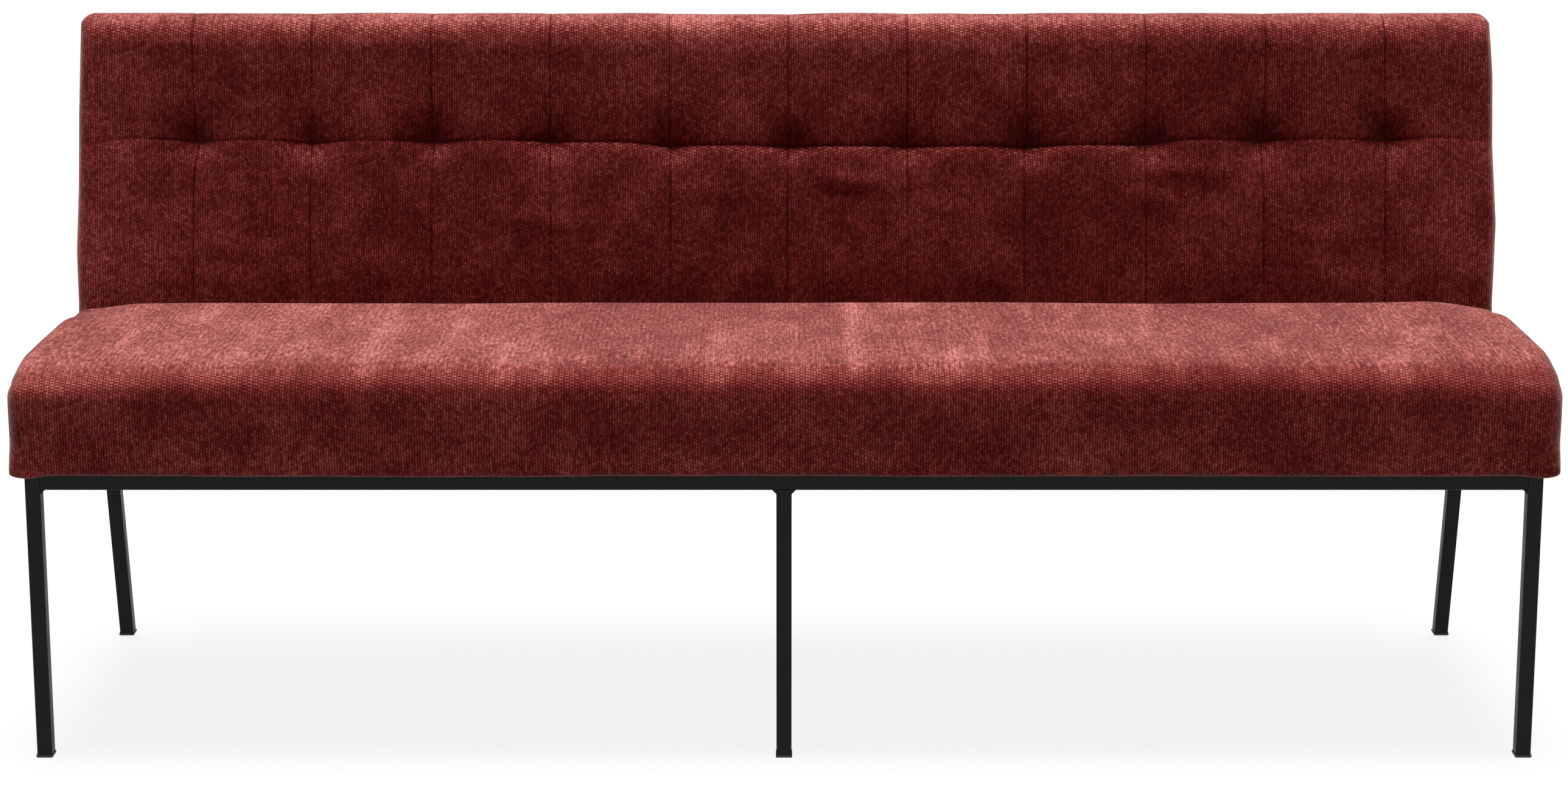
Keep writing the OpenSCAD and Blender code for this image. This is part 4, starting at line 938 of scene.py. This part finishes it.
def chenille(name, on_seat):
    """Chenille with knots in pairs of columns. on_seat adds the grain and the strokes of the seat's top."""
    n, place = new_material(name)
    uv = n.new("UVMap", uv_map="cloth").outputs[0]
    up = n.normal()[2]
    knot, each = knots(n, uv, up)
    # Nap that lies another way, in patches whose edges break up into single knots, less so on the seat's top
    spot = n.stretched(place, 1, 0.36, 1) if on_seat else place
    calm = n.range(up, 0.3, 0.85, 1, 0.35) if on_seat else 1
    dither = n.times(n.range(each, 0, 1, -0.1, 0.1), calm)
    patches = n.range(n.plus(n.noise(spot, 15, 5, 0.68), dither), 0.25, 0.75, -PATCH_TONE, PATCH_TONE)
    broad = n.plus(patches, n.range(n.noise(spot, 4.5, 2, 0.5), 0.25, 0.75, -BROAD_TONE, BROAD_TONE))
    blot = n.noise(uv, 150, 2, 0.6)
    fuzz = n.noise(place, 1100, 3, 0.7)
    # The knots' own tone, partly the cloth's dark gaps and partly painted shade between the knots, is
    # strongest on a slope and fades where the cloth lies level
    tilted = n.range(up, 0.3, 0.7, KNOT_TONE, KNOT_TONE * 1.15, soft=True)
    strength = n.times(tilted, n.range(up, 0.75, 1, 1, 0.45, soft=True))
    own = n.times_plus(n.range(each, 0, 1, -EACH_TONE, EACH_TONE), calm, MIDDLE_TONE)
    level = n.times_plus(n.math("SUBTRACT", knot, MIDDLE_KNOT), strength, own)
    level = n.times_plus(broad, n.range(up, 0.5, 0.95, 0.88, 1), level)
    for value, depth in ((blot, BLOT_TONE), (fuzz, FUZZ_TONE)):
        level = n.plus(level, n.range(value, 0.3, 0.7, -depth, depth))
    # Painted light: faces that look up are paler, as the light from above makes them
    level = n.plus(level, n.range(up, 0.28, 1, 0, PAINTED_TOP_LIGHT, soft=True))
    # The mesh's tones: the cloth's own, with painted shade in seams and hollows and painted highlights on
    # lips, crest and creases
    level = n.plus(level, n.new("Attribute", attribute_name="tone_and_painted_light").outputs["Fac"])
    if on_seat:
        level = n.plus(level, seat_grain(n, place, up, each))
    height = n.plus(n.times(knot, n.range(each, 0, 1, 0.75, 1)), n.times(fuzz, 0.45))
    return n.surface(n.ramp(level, CLOTH_TONES), 0.95, n.bump(height, 1, 0.0008), Sheen_Weight=0.7,
                     Sheen_Roughness=0.34, Sheen_Tint=(1, 0.58, 0.54, 1), Specular_IOR_Level=0.03)


def powder_coat(name):
    """Black powder coat with a fine orange peel, and painted light that greys the sides of the legs."""
    n, place = new_material(name)
    peel = n.noise(place, 900, 3, 0.6)
    cloud = n.noise(place, 14, 2, 0.5)
    colour = n.mix(n.range(cloud, 0.3, 0.7), rgb(15, 15, 15), rgb(20, 20, 20))
    # Painted light: faces that look sideways are paler, as the floor's light reflected on the legs' sides
    aside = n.math("ABSOLUTE", n.normal()[0])
    colour = n.mix(n.range(aside, 0.7, 0.95, 0, 0.9), colour, rgb(46, 40, 37))
    rough = n.range(cloud, 0.3, 0.7, 0.42, 0.52)
    return n.surface(colour, rough, n.bump(peel, 0.25, 0.0002), Specular_IOR_Level=0.14)


def plastic(name):
    n, place = new_material(name)
    grain = n.noise(place, 1400, 2, 0.6)
    tone = n.noise(place, 30, 2, 0.5)
    colour = n.mix(n.range(tone, 0.3, 0.7), rgb(21.6, 21.6, 21.6), rgb(24, 24, 24))
    return n.surface(colour, 0.55, n.bump(grain, 0.2, 0.0001), Specular_IOR_Level=0.4)


def zinc(name):
    """Zinc-plated steel with a fine spangle."""
    n, place = new_material(name)
    spangle = n.noise(place, 260, 3, 0.6)
    colour = n.mix(n.range(spangle, 0.3, 0.7), (0.42, 0.43, 0.45, 1), (0.6, 0.61, 0.62, 1))
    rough = n.range(spangle, 0.3, 0.7, 0.3, 0.5)
    return n.surface(colour, rough, n.bump(spangle, 0.1, 0.0001), Metallic=1)


def pine(name):
    """Pale wood with its rings and fibres along x."""
    n, place = new_material(name)
    long_way = n.stretched(place, 0.8, 14, 14)
    rings = n.named("TexWave", Vector=long_way, Scale=1.2, Distortion=3, Detail=3)
    rings.wave_type = "RINGS"
    rings.rings_direction = "X"
    fibre = n.noise(n.stretched(place, 6, 300, 300), 1, 3, 0.6)
    colour = n.mix(rings.outputs["Fac"], (0.6, 0.38, 0.19, 1), (0.42, 0.23, 0.1, 1))
    colour = n.mix(n.range(fibre, 0.3, 0.7, 0, 0.35), colour, (0.7, 0.5, 0.3, 1))
    return n.surface(colour, 0.6, n.bump(fibre, 0.3, 0.0003))


def cloth_plain(name, dark, light, pitch):
    """A plain woven cloth or cut foam: two crossing waves of this pitch in metres, and some speckle."""
    n, place = new_material(name)
    x, y, z = n.xyz(place)
    turns = 2 * math.pi / pitch
    wave_a, wave_b = [n.math("SINE", n.times(way, turns)) for way in (x, n.plus(y, z))]
    weave = n.range(n.times(wave_a, wave_b), -1, 1)
    speck = n.noise(place, 420, 3, 0.6)
    level = n.plus(n.times(weave, 0.5), n.range(speck, 0.3, 0.7, 0, 0.5))
    return n.surface(n.mix(level, dark, light), 0.9, n.bump(level, 0.4, 0.0004), Sheen_Weight=0.2)


def dress(materials):
    """Gives every shown CAD node the material of its slot in the record."""
    slots = {s["node"]: s["material_slot"] for s in frame["record"]["subparts"]}
    for node, piece in frame["nodes"].items():
        material = materials[slots[node]]
        if len(piece.material_slots) == 0:
            piece.data.materials.append(material)
        for slot in piece.material_slots:
            slot.material = material


def finish_piece(piece, material, slot, *nodes):
    """Gives a piece its material, and lets it stand for CAD nodes, which it hides. slot is not used."""
    piece.data.materials.append(material)
    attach(piece, "root")
    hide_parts(*nodes)


# Stage, lights and camera

# Floor: half its size, what its bounce gives back, how white the camera sees it, and how much it glows there
FLOOR_HALF = 30
FLOOR_BOUNCE = 0.36
FLOOR_COLOUR = 0.75
FLOOR_GLOW = 0.865

# Light: a wide soft sun overhead, a weak one from the front (elevation, spread in degrees, power) and a weak
# even surround
SUNS = {"overhead_light": (90, 24, 4.3), "front_light": (15, 60, 0.5)}
WORLD_LIGHT = 0.2


def seen_only(n):
    """1 for rays that the camera sees, straight, mirrored or through glass."""
    path = n.new("LightPath")
    seen = n.math("MAXIMUM", path.outputs["Is Camera Ray"], path.outputs["Is Glossy Ray"])
    return n.math("MAXIMUM", seen, path.outputs["Is Transmission Ray"])


def build_stage():
    """A pale floor that the camera sees nearly white, and that lights the piece less than it looks."""
    corners = [(-1, -1), (1, -1), (1, 1), (-1, 1)]
    mesh = bpy.data.meshes.new("floor")
    mesh.from_pydata([(x * FLOOR_HALF, y * FLOOR_HALF, 0) for x, y in corners], [], [(0, 1, 2, 3)])
    floor = place_object("floor", mesh)
    n = Nodes(bpy.data.materials.new("pale_floor"))

    def grey(shade):
        return n.new("BsdfDiffuse", (shade, shade, shade, 1)).outputs[0]

    glow = n.named("Emission", Strength=1).outputs[0]
    white = n.new("MixShader", FLOOR_GLOW, grey(FLOOR_COLOUR), glow).outputs[0]
    mixed = n.new("MixShader", seen_only(n), grey(FLOOR_BOUNCE), white).outputs[0]
    n.output("OutputMaterial", mixed)
    mesh.materials.append(n.owner)


def build_world():
    """White where the camera sees it, and weak as a light."""
    world = bpy.data.worlds.new("studio")
    n = Nodes(world)
    sky = n.new("Background", (1, 1, 1, 1), n.range(seen_only(n), 0, 1, WORLD_LIGHT, 1))
    n.output("OutputWorld", sky.outputs[0])
    bpy.context.scene.world = world


def build_lights():
    for name, (elevation, wide, power) in SUNS.items():
        data = bpy.data.lights.new(name, "SUN")
        data.energy = power
        data.angle = math.radians(wide)
        lamp = place_object(name, data)
        lamp.rotation_euler = (math.radians(90 - elevation), 0, 0)


def build_camera():
    data = bpy.data.cameras.new("camera")
    data.lens = LENS
    data.sensor_width = SENSOR
    data.shift_y = SHIFT_Y
    camera = place_object("camera", data)
    camera.location = CAMERA_AT
    camera.rotation_euler = (math.radians(90 - TILT_DOWN), 0, 0)
    bpy.context.scene.camera = camera


build_camera()
build_lights()
build_stage()
build_world()
red = chenille("chenille", False)
red_seat = chenille("chenille_seat", True)
materials = {
    "chenille": red,
    "thread": cloth_plain("twine", rgb(60, 20, 18), rgb(96, 40, 36), 0.001),
    "foam": cloth_plain("foam", rgb(206, 190, 140), rgb(236, 226, 184), 0.003),
    "webbing": cloth_plain("webbing", rgb(40, 40, 42), rgb(96, 96, 98), 0.004),
    "cambric": cloth_plain("cambric", rgb(14, 14, 14), rgb(42, 42, 42), 0.0022),
    "pine": pine("pine"),
    "black_steel": powder_coat("powder_coat"),
    "zinc_steel": zinc("zinc"),
    "black_plastic": plastic("black_plastic"),
}
dress(materials)
backrest = build_backrest()
finish_piece(backrest, red, "chenille", "back_cover", "back_foam")
seat = build_seat()
finish_piece(seat, red_seat, "chenille", "seat_cover", "seat_foam")
rear_panel = build_outside_back()
finish_piece(rear_panel, red, "chenille", "outside_back")
dust, dust_flat = build_dust_cloth()
finish_piece(dust, materials["cambric"], "cambric", "dust_cover")

bpy.context.scene.view_settings.view_transform = "Standard"
